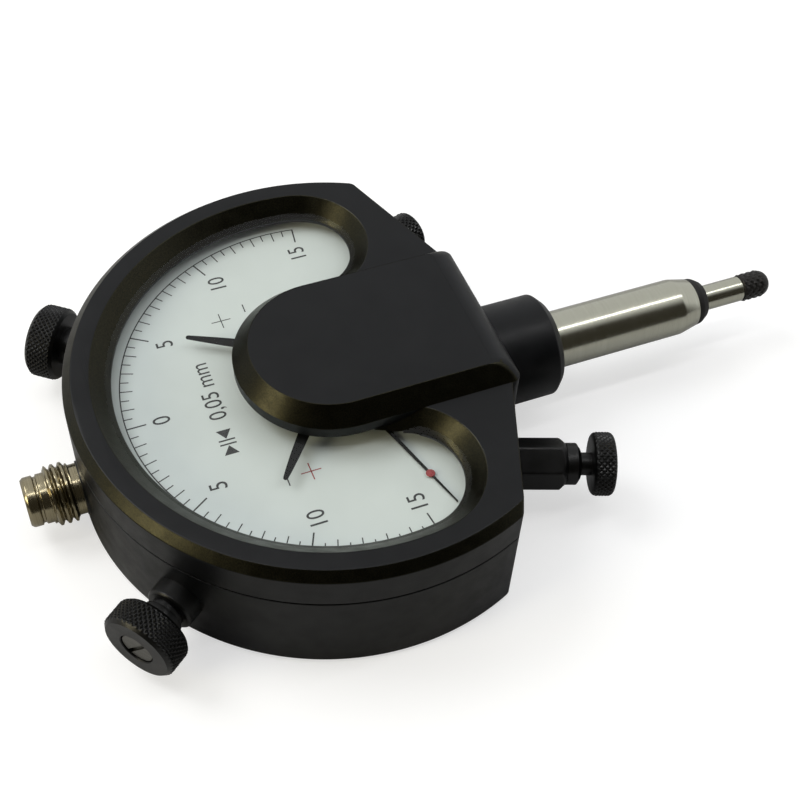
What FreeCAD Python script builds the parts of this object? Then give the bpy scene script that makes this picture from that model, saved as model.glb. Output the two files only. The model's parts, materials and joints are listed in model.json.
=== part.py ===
import FreeCAD, Part
import math
import os
from FreeCAD import Vector

os.makedirs("parts", exist_ok=True)

# Dial indicator with a round case, a bridge over the dial and a clamping stem.
# Millimetres. Origin: the pointer axis on the back face. +Z is towards the reader,
# +Y is twelve o'clock, and the stem points along -Y.

# Fits
RUNNING = 0.05
CLEAR = 0.1

# Case outline
CASE_R = 33.2
CASE_Y = 0.55
SHOULDER = math.radians(20.2)
SHOULDER_X = 21.0
SHOULDER_Y = -16.4
CORNER_FILLET = 1.2
BLOCK_X = 12.2
BLOCK_ROUNDING = 0.9
END_Y = -21.1

# Case body, from the back face up
BACK_BEVEL = 0.6
WALL = 4.0
RIM_WALL = 2.0
COVER_T = 1.5
LUG_R = 2.6
LUG_T = 4.0
LEDGE_Z = 12.5
SEAM_Z = 13.5
SEAM_HALF = 0.1
GASKET_IN = 0.3
GASKET_W = 1.3

# Front ring, opening, crystal and dial
FACE_Z = 19.17
FACE_BEVEL = 1.15
FRAME_W = 3.45
OPENING_DROP = 2.57
OPENING_STEP = 2.45
LOBE_R = 9.6
LOBE_Y = -2.3
LIP_T = 0.5
UNDERCUT = 1.15
UNDERCUT_LOBE = 1.0
GROOVE_IN = 0.1
CRYSTAL_Z = 16.75
CRYSTAL_T = 0.7
DIAL_Z = 14.02
DIAL_INSET = 3.3
DIAL_HOLE_R = 1.8

# Bridge over the dial
BRIDGE_Z = 21.5
BRIDGE_FOOT_X = 12.2
BRIDGE_TOP_X = 10.2
BRIDGE_END_R = 4.0
NOSE_Y = 0.4
CAVITY_R = 11.3
CAVITY_TOP_R = 9.0
CAVITY_TOP_Z = 20.3
NOSE_WALL = 0.2
CRYSTAL_OVERLAP = 0.9

# Slotted screws
SCREW_R = 0.78
TAPPED_R = 0.8
SCREW_HOLE_R = 0.85
HEAD_R = 1.3
HEAD_T = 1.0
HEAD_HOLE_R = 1.4
HEAD_SUNK = 0.2
SLOT_SHARE = 0.26
CASE_SCREW_IN = 2.3
CASE_SCREW_COMPASS = 65
COVER_SCREW_IN = 6.2
COVER_SCREW_COMPASS = (62, 100)
COVER_SCREW_LENGTH = 3.4
BRIDGE_SCREW_X = 7.0
BRIDGE_SCREW_IN = 4.6
BRIDGE_SCREW_Z = 15.0
BRIDGE_SCREW_LENGTH = 4.5

# Stem, spindle and contact tip
STEM_Z = 9.24
STEM_R = 4.0
STEM_NECK_R = 3.2
STEM_SEAT_R = 3.8
STEM_FREE = 20.0
STEM_TAPER = 2.7
STEM_MOUTH_R = 3.4
STEM_BORE_R = 2.6
STEM_REAR_R = 2.4
STEM_LIP_R = 2.3
STEM_BACK_Y = -17.75
COLLAR_R = 7.1
COLLAR_LENGTH = 10.2
COLLAR_BEVEL = 1.1
SEAL_LENGTH = 1.8
SEAL_FACE_R = 2.6
REAR_BUSH_LENGTH = 4.45
FRONT_BUSH_LENGTH = 7.4
SPINDLE_R = 1.8
SPINDLE_SLIM_R = 1.4
SPINDLE_STOP_R = 2.35
SPINDLE_STOP_T = 1.5
SPINDLE_BACK_Y = -11.9
SPINDLE_REACH = 8.2
SPINDLE_TRAVEL = 3.28
SPRING_R = 2.0
SPRING_WIRE = 0.22
SPRING_TURNS = 8
TIP_R = 2.0
TIP_STUD_R = 1.0
TIP_STUD_LENGTH = 4.0
TIP_LENGTH = 4.7
TIP_DOME = 1.5

# Pointer train: toothed sector and pinion
MODULE = 0.25
PINION_TEETH = 14
SECTOR_TEETH_FULL = 112
SECTOR_TEETH = 13
LEVER_ARM = 6.94
LEVER_SWING = math.radians(26.84)
SECTOR_Z = 11.3
SECTOR_T = 0.8
SECTOR_RIM = 1.6
FORK_R = 1.3
FORK_SLOT_R = 0.58
LEVER_HUB_R = 2.3
LEVER_WEB_R = 4.6
DRIVER_R = 0.5
PIVOT_R = 0.6
PIVOT_TOP_Z = 13.3

# Plates and pillars
LOWER_Z = 8.2
LOWER_T = 0.7
LOWER_ARM = 1.9
LOWER_PIVOT_ARM = 1.7
LOWER_HUB_R = 3.4
PILLARS = [Vector(8.5, -2.5, 0), Vector(0, 7.8, 0), Vector(-11.0, -8.5, 0)]
PILLAR_R = 1.4
PILLAR_SCREW_R = 0.6
PILLAR_SCREW_LENGTH = 2.9
PILLAR_HEAD_R = 1.2

# Coaxial bearings on the pointer axis, from the inside out: a rod for the right
# hand, a tube for the left hand, the fixed post, and the pointer arbor
ROD_R = 0.35
TUBE_R = 0.60
POST_R = 0.90
ARBOR_R = 1.30
POST_FLANGE_R = 2.2
POST_TOP_Z = 15.3
ARBOR_Z = 9.1
ARBOR_TOP_Z = 14.9
PIVOT_BUSH_R = 1.6

# Hairspring
COLLET_R = 2.0
STUD = Vector(4.2, 3.4, 0)
STUD_R = 0.5
HAIRSPRING_Z = 9.9
HAIRSPRING_W = 0.4
HAIRSPRING_T = 0.1
HAIRSPRING_TURNS = 4

# Pointer and limit hands
POINTER_REST = -107.1
POINTER_Z = 14.2
POINTER_T = 0.18
POINTER_IN = 4.55
POINTER_HUB_R = 2.4
POINTER_HUB_T = 0.55
WEIGHT_R = 1.3
DIAMOND = 1.1
DIAMOND_IN = 5.2
HAND_T = 0.2
HAND_ROOT_W = 2.2
HAND_W = 1.55
HAND_TIP_W = 0.7
HAND_SHORTER = 5.7
LEFT_HAND_Z = 15.8
LEFT_HAND_REST = -52.6
LEFT_HAND_SHORTER = 0.9
RIGHT_HAND_Z = 16.1
RIGHT_HAND_REST = 34.2
RIGHT_HAND_LINE = 28.5
HAND_STOP_R = 13.2
SWEEP_COMPASS = 112

# Limit train: knobs, pinions and crown wheels
LIMIT_COMPASS = 37.5
KNOB_Z = 7.2
LIMIT_MODULE = 0.3
LIMIT_PINION_TEETH = 10
LEFT_WHEEL_TEETH = 70
RIGHT_WHEEL_TEETH = 90
LEFT_WHEEL_Z = 4.9
RIGHT_WHEEL_Z = 3.8
WHEEL_FACE = 1.2
WHEEL_WEB_T = 0.45
WHEEL_HUB_R = 1.7
CROWN_DEPTH = 0.35
CROWN_HEIGHT = 0.25
SHAFT_R = 1.0
SHAFT_SLIM_R = 0.8
SHAFT_STEP = 15.4
POST_NEAR = 16.5
POST_LENGTH = 2.0
POST_WIDTH = 3.6
POST_LOW_Z = 5.6
LIMIT_BUSH_R = 3.15
LIMIT_BUSH_SLIM_R = 2.2
LIMIT_BUSH_IN = 4.2
LIMIT_BUSH_OUT = 2.8
WASHER_T = 0.7
KNOB_HUB_R = 2.6
KNOB_R = 5.03
KNOB_T = 3.9
KNOB_OUT = 8.9
KNOB_BEVEL = 0.6
KNOB_RECESS_R = 2.3
KNOB_RECESS = 0.9
KNOB_SCREW_R = 0.6
KNOB_SCREW_HEAD_R = 2.15
KNOB_SCREW_LENGTH = 3.0
KNOB_SLOT_TURN = 37

# Shoulder fittings
LIFTER_X = 15.8
LIFTER_FLATS = 6.0
LIFTER_HEX = 7.9
LIFTER_STUB_R = 2.0
LIFTER_STUB = 4.0
LIFTER_BORE_R = 1.95
LIFTER_NUT_R = 2.75
LIFTER_NUT_T = 1.8
LIFTER_THREAD_R = 1.9
LIFTER_THREAD = 1.4
LIFTER_ROD_R = 0.9
LIFTER_NECK_R = 1.5
LIFTER_STOP_R = 1.8
LIFTER_STOP_T = 0.8
LIFTER_ROD_IN = 7.0
LIFTER_SPRING_R = 1.4
LIFTER_SPRING_WIRE = 0.2
LIFTER_SPRING_TURNS = 5
LIFTER_KNOB_R = 4.2
LIFTER_KNOB_BACK = 11.15
ADJUSTER_IN = 9.2
ADJUSTER_BUSH_R = 2.6
ADJUSTER_STUB_R = 2.0
ADJUSTER_SCREW_R = 1.0
ADJUSTER_NECK_R = 1.6
ADJUSTER_NECK = 0.7
ADJUSTER_SCREW_IN = 6.5
ADJUSTER_KNOB_R = 3.2
ADJUSTER_KNOB_BACK = 4.5
SMALL_KNOB_T = 2.9
SMALL_KNOB_ROUNDING = 0.7
SMALL_KNOB_BORE = 2.2

# Round connector at twelve o'clock
CONNECTOR_Z = 6.0
CONNECTOR_BARREL_R = 2.9
CONNECTOR_WASHER_R = 3.55
CONNECTOR_SLEEVE_R = 3.25
CONNECTOR_RING_R = 3.3
CONNECTOR_BORE_R = 2.5
THREAD_ROOT_R = 3.45
THREAD_CREST_R = 3.95
THREAD_PITCH = 1.0
THREADS = 3
THREAD_START = 1.8
SLEEVE_START = 4.9
CONNECTOR_OUT = 7.8
CONNECTOR_IN = 4.6
PIN_R = 0.35
PIN_CIRCLE_R = 1.3
PINS = 4

# Places that follow from the sizes above
OPENING_R = CASE_R - FRAME_W
LOBE_X = math.sqrt((OPENING_R - LOBE_R) ** 2 - (CASE_Y - LOBE_Y) ** 2)
UNDERCUT_R = OPENING_R - UNDERCUT
UNDERCUT_LOBE_R = LOBE_R - UNDERCUT_LOBE
LIP_Z = FACE_Z - OPENING_DROP
NOSE_RIM_Z = CRYSTAL_Z + CRYSTAL_T
NOSE_X = BRIDGE_FOOT_X - CLEAR
COLLAR_END_Y = END_Y - COLLAR_LENGTH
STEM_TAPER_Y = COLLAR_END_Y - STEM_FREE
STEM_END_Y = STEM_TAPER_Y - STEM_TAPER
STEM_BORE_Y = STEM_END_Y + STEM_LIP_R - SPINDLE_R + CLEAR
FRONT_BUSH_Y = STEM_BORE_Y + FRONT_BUSH_LENGTH
REAR_BUSH_Y = STEM_BACK_Y - REAR_BUSH_LENGTH
SPINDLE_STOP_Y = FRONT_BUSH_Y + CLEAR + SPINDLE_STOP_T
SPINDLE_END_Y = STEM_END_Y - SPINDLE_REACH
TIP_END_Y = SPINDLE_END_Y - TIP_LENGTH
PINION_R = MODULE * PINION_TEETH / 2
SECTOR_R = MODULE * SECTOR_TEETH_FULL / 2
PIVOT = Vector(-LEVER_ARM, -math.sqrt((PINION_R + SECTOR_R) ** 2 - LEVER_ARM ** 2), 0)
PIVOT_HOLE_R = PIVOT_R + RUNNING
LOWER_TOP_Z = LOWER_Z + LOWER_T
TUBE_IN = ROD_R + RUNNING
POST_IN = TUBE_R + RUNNING
ARBOR_IN = POST_R + RUNNING
LIMIT_PINION_R = LIMIT_MODULE * LIMIT_PINION_TEETH / 2
CROWN_PITCH_Z = KNOB_Z - LIMIT_PINION_R
CROWN_ROOT_Z = CROWN_PITCH_Z - CROWN_DEPTH
CROWN_TIP_Z = CROWN_PITCH_Z + CROWN_HEIGHT
SHAFT_HOLE_R = SHAFT_R + RUNNING
POINTER_R = OPENING_R - POINTER_IN
HAND_R = POINTER_R - HAND_SHORTER
LIMIT_BUSH_END = CASE_R + LIMIT_BUSH_OUT
KNOB_FRONT = CASE_R + KNOB_OUT
KNOB_HUB_BACK = LIMIT_BUSH_END + WASHER_T + RUNNING
SHAFT_END = KNOB_FRONT - 2 * KNOB_RECESS
ADJUSTER_X = CASE_R - ADJUSTER_IN
CONNECTOR_END_Y = CASE_R + CONNECTOR_OUT

UP = Vector(0, 0, 1)
OUT = Vector(0, -1, 0)
NORTH = Vector(0, 1, 0)
CENTRE = Vector(0, 0, 0)


def compass(angle, radius, z=0.0):
    """Point at a clock angle in degrees, clockwise from twelve."""
    a = math.radians(angle)
    return Vector(radius * math.sin(a), radius * math.cos(a), z)


def rod(radius, base, axis, length):
    return Part.makeCylinder(radius, length, base, axis)


def upright(radius, at, z0, z1):
    return rod(radius, Vector(at.x, at.y, z0), UP, z1 - z0)


def ring(outer, inner, z0, z1):
    return upright(outer, CENTRE, z0, z1).cut(upright(inner, CENTRE, z0, z1))


def placed(shape, base, axis):
    """Moves a shape made along +Z so that it starts at base and runs along axis."""
    shape.Placement = FreeCAD.Placement(base, FreeCAD.Rotation(UP, axis))
    return shape


def turned(profile, base=CENTRE, axis=UP):
    """Solid of revolution from (distance along axis, radius) points."""
    points = [Vector(0, 0, profile[0][0])]
    points += [Vector(radius, 0, along) for along, radius in profile]
    points += [Vector(0, 0, profile[-1][0]), points[0]]
    face = Part.Face(Part.makePolygon(points))
    return placed(face.revolve(CENTRE, UP, 360), base, axis)


def prism(corners, z0, z1):
    points = [Vector(x, y, z0) for x, y in corners]
    face = Part.Face(Part.makePolygon(points + [points[0]]))
    return face.extrude(Vector(0, 0, z1 - z0))


def joined(shapes):
    return shapes[0].multiFuse(shapes[1:]).removeSplitter()


def without(shape, cutters):
    return shape.cut(Part.makeCompound(cutters))


def hexagon(across_flats, z0, z1):
    radius = across_flats / math.sqrt(3)
    angles = [math.radians(60 * i) for i in range(6)]
    return prism([(radius * math.cos(a), radius * math.sin(a)) for a in angles], z0, z1)


def screw(shank_r, shank_length, head_r, head_t, base=CENTRE, axis=UP, slot_turn=0):
    """Slotted screw: the head's outer face is at base and the shank runs along axis."""
    body = turned([(0, head_r), (head_t, head_r), (head_t, shank_r), (head_t + shank_length, shank_r)])
    width = head_r * SLOT_SHARE
    reach = head_r + CLEAR
    slot = Part.makeBox(2 * reach, width, head_t / 2, Vector(-reach, -width / 2, 0))
    slot.rotate(CENTRE, UP, slot_turn)
    return placed(body.cut(slot), base, axis)


def coil(radius, wire, turns, base, axis, length):
    """Compression spring of six-sided wire, bent in twelve straight steps a turn."""
    steps = 12
    sides = 6
    rise = length - 2 * wire
    count = turns * steps
    points = []
    for i in range(count + 1):
        a = 2 * math.pi * i / steps
        points.append(Vector(radius * math.cos(a), radius * math.sin(a), wire + rise * i / count))
    along = (points[1] - points[0]).normalize()
    up = along.cross(Vector(1, 0, 0)).normalize()
    out = up.cross(along)
    corners = []
    for i in range(sides + 1):
        a = 2 * math.pi * i / sides
        corners.append(points[0] + out * (wire * math.cos(a)) + up * (wire * math.sin(a)))
    path = Part.makePolygon(points)
    return placed(path.makePipeShell([Part.makePolygon(corners)], True, False, 1), base, axis)


def gear(teeth, module, addendum, z0, z1, thickness, first=0.0):
    """Pinion with straight-flanked teeth; first is the direction of one tooth in degrees."""
    pitch_r = module * teeth / 2
    root_r = pitch_r - 1.3 * module
    tooth = rack_tooth(root_r, pitch_r, pitch_r + addendum, thickness, z0, z1)
    shapes = [upright(root_r, CENTRE, z0, z1)]
    for i in range(teeth):
        one = tooth.copy()
        one.rotate(CENTRE, UP, first + 360.0 * i / teeth)
        shapes.append(one)
    return joined(shapes)


def rack_tooth(root_r, pitch_r, tip_r, thickness, z0, z1):
    """Tooth pointing along +X, rooted a little inside root_r. Its thickness is at the pitch radius."""
    slope = 0.36
    low_r = root_r - CLEAR
    foot_half = thickness / 2 + (pitch_r - low_r) * slope * 0.6
    tip_half = thickness / 2 - (tip_r - pitch_r) * slope
    return prism([(low_r, -foot_half), (pitch_r, -thickness / 2), (tip_r, -tip_half),
                  (tip_r, tip_half), (pitch_r, thickness / 2), (low_r, foot_half)], z0, z1)


def bar(start, end, half, z0, z1):
    """Flat bar with round ends between two points."""
    side = UP.cross(end - start).normalize() * half
    corners = [start + side, start - side, end - side, end + side]
    middle = prism([(p.x, p.y) for p in corners], z0, z1)
    return joined([middle, upright(half, start, z0, z1), upright(half, end, z0, z1)])


# Case

def shoulder_y(x, inset=0.0):
    return SHOULDER_Y + (abs(x) - SHOULDER_X) * math.tan(SHOULDER) + inset / math.cos(SHOULDER)


def outline(inset, z0, z1):
    """The body's outline: a circle cut by two shoulders, with the block for the stem."""
    disc = Part.makeCylinder(CASE_R - inset, z1 - z0, Vector(0, CASE_Y, z0))
    end_y = END_Y + inset
    flat_x = SHOULDER_X + (end_y - shoulder_y(SHOULDER_X, inset)) / math.tan(SHOULDER)
    far = 2 * CASE_R
    half = [(flat_x, end_y), (far, shoulder_y(far, inset)), (far, far)]
    wedge = prism(half + [(-x, y) for x, y in reversed(half)], z0, z1)
    block_x = BLOCK_X - inset
    block = Part.makeBox(2 * block_x, -end_y, z1 - z0, Vector(-block_x, end_y, z0))
    return joined([disc.common(wedge), block])


def upright_edges(shape, height):
    return [e for e in shape.Edges
            if abs(e.Vertexes[0].Point.z - e.Vertexes[-1].Point.z) > height / 2]


def rounded_outline(z0, z1):
    """The outside of the body, with its upright corners rounded."""
    body = outline(0, z0, z1)
    corners = [e for e in upright_edges(body, z1 - z0) if abs(e.CenterOfMass.x) > SHOULDER_X]
    body = body.makeFillet(CORNER_FILLET, corners)
    ends = [e for e in upright_edges(body, z1 - z0) if abs(e.CenterOfMass.y - END_Y) < CLEAR]
    return body.makeFillet(BLOCK_ROUNDING * (shoulder_y(BLOCK_X) - END_Y), ends)


def opening(big_r, lobe_r, z0, z1, grow=0.0):
    """Dial opening: a disc above the stem block with two round lobes beside it.
    Both radii grow by the last value from z0 to z1."""
    height = z1 - z0
    middles = [(big_r, Vector(0, CASE_Y, z0))]
    middles += [(lobe_r, Vector(side * LOBE_X, LOBE_Y, z0)) for side in (-1, 1)]
    if grow:
        rounds = [Part.makeCone(r, r + grow, height, at) for r, at in middles]
    else:
        rounds = [Part.makeCylinder(r, height, at) for r, at in middles]
    fall = (CASE_Y - LOBE_Y) / LOBE_X
    far = 2 * CASE_R
    low = CASE_Y - fall * far
    upper = prism([(0, CASE_Y), (far, low), (far, far), (-far, far), (-far, low)], z0, z1)
    return joined([rounds[0].common(upper)] + rounds[1:])


def case_screw_places():
    """Two in the round wall, and two in the shoulders clear of their fittings."""
    high = compass(CASE_SCREW_COMPASS, CASE_R - CASE_SCREW_IN)
    places = [Vector(side * high.x, high.y + CASE_Y, 0) for side in (-1, 1)]
    corner_x = CASE_R - WALL
    left_x = (LIFTER_X + corner_x) / 2
    right_x = (BLOCK_X + ADJUSTER_X) / 2 - RIM_WALL / 4
    return places + [Vector(x, shoulder_y(x, CASE_SCREW_IN), 0) for x in (-left_x, right_x)]


def cover_screw_places():
    places = [compass(side * angle, CASE_R - COVER_SCREW_IN)
              for side in (-1, 1) for angle in COVER_SCREW_COMPASS]
    return [Vector(p.x, p.y + CASE_Y, 0) for p in places]


def bridge_screw_places():
    return [Vector(side * BRIDGE_SCREW_X, END_Y + BRIDGE_SCREW_IN, 0) for side in (-1, 1)]


def foot_direction(side):
    """Outward direction of a shoulder fitting, square to the shoulder."""
    return Vector(side * math.sin(SHOULDER), -math.cos(SHOULDER), 0)


def foot(side, along=0.0):
    """Point on a shoulder fitting's axis: the lifter's on the left, the adjuster's on the right."""
    x, z = (ADJUSTER_X, STEM_Z) if side > 0 else (LIFTER_X, KNOB_Z)
    return Vector(side * x, shoulder_y(x), z) + foot_direction(side) * along


def limit_rod(radius, side, start, end):
    """Cylinder on a limit knob's axis, by distance from the pointer axis."""
    return rod(radius, compass(side * LIMIT_COMPASS, start, KNOB_Z), compass(side * LIMIT_COMPASS, 1), end - start)


def case_body():
    top = SEAM_Z - SEAM_HALF
    body = rounded_outline(0, top)
    body = body.common(turned([(0, CASE_R - BACK_BEVEL), (BACK_BEVEL, CASE_R), (top, CASE_R)],
                              Vector(0, CASE_Y, 0)))
    body = body.cut(outline(WALL, 0, LEDGE_Z))
    body = body.cut(outline(RIM_WALL, LEDGE_Z, top))
    lug_top = COVER_T + LUG_T
    body = joined([body] + [upright(LUG_R, at, COVER_T, lug_top) for at in cover_screw_places()])
    cutters = [upright(TAPPED_R, at, COVER_T, lug_top) for at in cover_screw_places()]
    for at in case_screw_places():
        cutters += [upright(HEAD_HOLE_R, at, 0, HEAD_R + CLEAR), upright(SCREW_HOLE_R, at, 0, top)]
    cutters.append(rod(STEM_NECK_R, Vector(0, END_Y + 1.5 * WALL, STEM_Z), OUT, 2 * WALL))
    stub_r = {-1: LIFTER_STUB_R, 1: ADJUSTER_STUB_R}
    for side in (-1, 1):
        cutters.append(limit_rod(LIMIT_BUSH_SLIM_R, side, CASE_R - 1.5 * WALL, CASE_R + WALL))
        cutters.append(limit_rod(LIMIT_BUSH_R, side, CASE_R, CASE_R + WALL))
        cutters.append(rod(stub_r[side], foot(side, -2 * WALL), foot_direction(side), 3 * WALL))
    cutters.append(rod(CONNECTOR_BARREL_R, Vector(0, CASE_R - 1.5 * WALL, CONNECTOR_Z), NORTH, 3 * WALL))
    cutters.append(rod(CONNECTOR_WASHER_R + RUNNING, Vector(0, CASE_R, CONNECTOR_Z), NORTH, WALL))
    return without(body, cutters)


def back_cover():
    cover = outline(WALL + CLEAR, 0, COVER_T)
    cutters = []
    for at in cover_screw_places():
        cutters += [upright(HEAD_HOLE_R, at, 0, HEAD_T - CLEAR), upright(SCREW_HOLE_R, at, 0, COVER_T)]
    return without(cover, cutters)


def seam_gasket():
    low = SEAM_Z - SEAM_HALF
    high = SEAM_Z + SEAM_HALF
    gasket = outline(GASKET_IN, low, high).cut(outline(GASKET_IN + GASKET_W, low, high))
    return without(gasket, [upright(SCREW_HOLE_R + CLEAR, at, low, high) for at in case_screw_places()])


# Front ring, bridge, crystal and dial

def sweep(radius, half_angle, z0, z1):
    """Pie-shaped space for the pointer and the hands, centred on twelve o'clock."""
    pie = Part.makeCylinder(radius, z1 - z0, Vector(0, 0, z0), UP, 2 * half_angle)
    pie.rotate(CENTRE, UP, 90 - half_angle)
    return pie


def tongue_wire(half, z):
    """Straight-sided tongue with a round nose."""
    a = Vector(-half, END_Y, z)
    b = Vector(-half, NOSE_Y, z)
    c = Vector(half, NOSE_Y, z)
    d = Vector(half, END_Y, z)
    nose = Part.Arc(b, Vector(0, NOSE_Y + half, z), c).toShape()
    return Part.Wire([Part.makeLine(a, b), nose, Part.makeLine(c, d), Part.makeLine(d, a)])


def tongue(foot_x, top_x, z0, z1):
    return Part.makeLoft([tongue_wire(foot_x, z0), tongue_wire(top_x, z1)], True, True)


def hub_hole(radius, z0, z1):
    return upright(radius, Vector(0, NOSE_Y / 2, 0), z0, z1)


def front_ring():
    bottom = SEAM_Z + SEAM_HALF
    body = rounded_outline(bottom, FACE_Z)
    body = body.common(turned([(bottom, CASE_R), (FACE_Z - FACE_BEVEL, CASE_R), (FACE_Z, CASE_R - FACE_BEVEL)],
                              Vector(0, CASE_Y, 0)))
    narrow = OPENING_R - OPENING_STEP
    narrow_lobe = LOBE_R - OPENING_STEP
    undercut_z = LIP_Z - LIP_T
    body = body.cut(opening(narrow, narrow_lobe, LIP_Z, FACE_Z, OPENING_STEP))
    body = body.cut(opening(narrow, narrow_lobe, undercut_z, LIP_Z))
    body = body.cut(opening(UNDERCUT_R, UNDERCUT_LOBE_R, bottom, undercut_z))
    body = body.cut(opening(UNDERCUT_R - GROOVE_IN, UNDERCUT_LOBE_R - GROOVE_IN, CRYSTAL_Z, NOSE_RIM_Z))
    body = body.cut(outline(DIAL_INSET - CLEAR, bottom, DIAL_Z + RUNNING / 2))
    body = body.cut(sweep(HAND_R + HEAD_R + HAND_ROOT_W / 4, SWEEP_COMPASS, bottom, CRYSTAL_Z))
    body = joined([body, tongue(NOSE_X, NOSE_X, NOSE_RIM_Z, FACE_Z)])
    cutters = [hub_hole(CAVITY_R, bottom, FACE_Z), hub_hole(NOSE_X - NOSE_WALL, bottom, NOSE_RIM_Z)]
    cutters += [upright(TAPPED_R, at, bottom, LIP_Z) for at in case_screw_places()]
    for at in bridge_screw_places():
        cutters.append(upright(TAPPED_R, at, bottom, FACE_Z))
        cutters.append(upright(HEAD_HOLE_R + CLEAR, at, bottom, BRIDGE_SCREW_Z + HEAD_T))
    return without(body, cutters)


def bridge_cover():
    cover = tongue(BRIDGE_FOOT_X, BRIDGE_TOP_X, FACE_Z, BRIDGE_Z)
    drop = BRIDGE_Z - FACE_Z
    run = math.sqrt(BRIDGE_END_R ** 2 - (BRIDGE_END_R - drop) ** 2)
    centre = Vector(-BLOCK_X, END_Y + run, BRIDGE_Z - BRIDGE_END_R)
    roll = rod(BRIDGE_END_R, centre, Vector(1, 0, 0), 2 * BLOCK_X)
    flat = Part.makeBox(3 * BLOCK_X, 2 * CASE_R, drop, Vector(-1.5 * BLOCK_X, END_Y + run, FACE_Z))
    cover = cover.common(joined([roll, flat])).common(rounded_outline(FACE_Z, BRIDGE_Z))
    cutters = [upright(CAVITY_TOP_R, CENTRE, FACE_Z, CAVITY_TOP_Z)]
    reach = BRIDGE_SCREW_Z + HEAD_T + BRIDGE_SCREW_LENGTH + CLEAR
    cutters += [upright(TAPPED_R, at, FACE_Z, reach) for at in bridge_screw_places()]
    return without(cover, cutters)


def crystal():
    inset = GROOVE_IN + RUNNING
    glass = opening(UNDERCUT_R - inset, UNDERCUT_LOBE_R - inset, CRYSTAL_Z, NOSE_RIM_Z)
    return glass.cut(hub_hole(CAVITY_R - CRYSTAL_OVERLAP, CRYSTAL_Z, NOSE_RIM_Z))


def dial_plate():
    plate = outline(DIAL_INSET, SEAM_Z, DIAL_Z)
    cutters = [upright(HEAD_HOLE_R + GASKET_IN, at, SEAM_Z, DIAL_Z) for at in bridge_screw_places()]
    return without(plate, cutters + [upright(DIAL_HOLE_R, CENTRE, SEAM_Z, DIAL_Z)])


# Movement plates

def movement_plate():
    plate = outline(RIM_WALL + CLEAR, LEDGE_Z, SEAM_Z)
    cutters = [upright(SCREW_HOLE_R + CLEAR, at, LEDGE_Z, SEAM_Z) for at in case_screw_places()]
    cutters += [upright(TAPPED_R, at, LEDGE_Z, SEAM_Z) for at in PILLARS]
    cutters += [upright(HEAD_HOLE_R + GASKET_IN, at, LEDGE_Z, SEAM_Z) for at in bridge_screw_places()]
    cutters.append(upright(ARBOR_R + GASKET_IN, CENTRE, LEDGE_Z, SEAM_Z))
    cutters.append(upright(PIVOT_HOLE_R, PIVOT, LEDGE_Z, SEAM_Z))
    cutters.append(upright(STUD_R, STUD, LEDGE_Z, SEAM_Z))
    return without(plate, cutters)


def lower_bridge():
    bars = [bar(CENTRE, at, LOWER_ARM, LOWER_Z, LOWER_TOP_Z) for at in PILLARS]
    bars.append(bar(PILLARS[-1], PIVOT, LOWER_PIVOT_ARM, LOWER_Z, LOWER_TOP_Z))
    bars.append(upright(LOWER_HUB_R, CENTRE, LOWER_Z, LOWER_TOP_Z))
    cutters = [upright(PILLAR_SCREW_R + RUNNING, at, LOWER_Z, LOWER_TOP_Z) for at in PILLARS]
    cutters.append(upright(PIVOT_HOLE_R, PIVOT, LOWER_Z, LOWER_TOP_Z))
    cutters.append(upright(POST_R, CENTRE, LOWER_Z, LOWER_TOP_Z))
    return without(joined(bars), cutters)


def plate_pillars():
    depth = PILLAR_SCREW_LENGTH - LOWER_T + 2 * CLEAR
    pillars = []
    for at in PILLARS:
        pillar = turned([(LOWER_TOP_Z, PILLAR_R), (LEDGE_Z, PILLAR_R), (LEDGE_Z, TAPPED_R),
                         (SEAM_Z - CLEAR, TAPPED_R)], at)
        pillars.append(pillar.cut(upright(PILLAR_SCREW_R, at, LOWER_TOP_Z, LOWER_TOP_Z + depth)))
    return Part.makeCompound(pillars)


def pillar_screws():
    head_t = PILLAR_HEAD_R / 2
    return Part.makeCompound([screw(PILLAR_SCREW_R, PILLAR_SCREW_LENGTH, PILLAR_HEAD_R, head_t,
                                    Vector(at.x, at.y, LOWER_Z - head_t)) for at in PILLARS])


def centre_post():
    flange = ring(POST_FLANGE_R, POST_IN, LOWER_Z - DRIVER_R, LOWER_Z)
    return joined([flange, ring(POST_R, POST_IN, LOWER_Z, POST_TOP_Z)])


def lower_pivot_bush():
    bush = upright(PIVOT_BUSH_R, CENTRE, COVER_T, 2 * PIVOT_BUSH_R)
    return bush.cut(upright(TUBE_IN, CENTRE, COVER_T + GASKET_IN, 2 * PIVOT_BUSH_R))


# Pointer train

def phase_turn():
    """Lever angle at rest, counted from the middle of its swing."""
    return -math.degrees(LEVER_SWING) / 2


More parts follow.
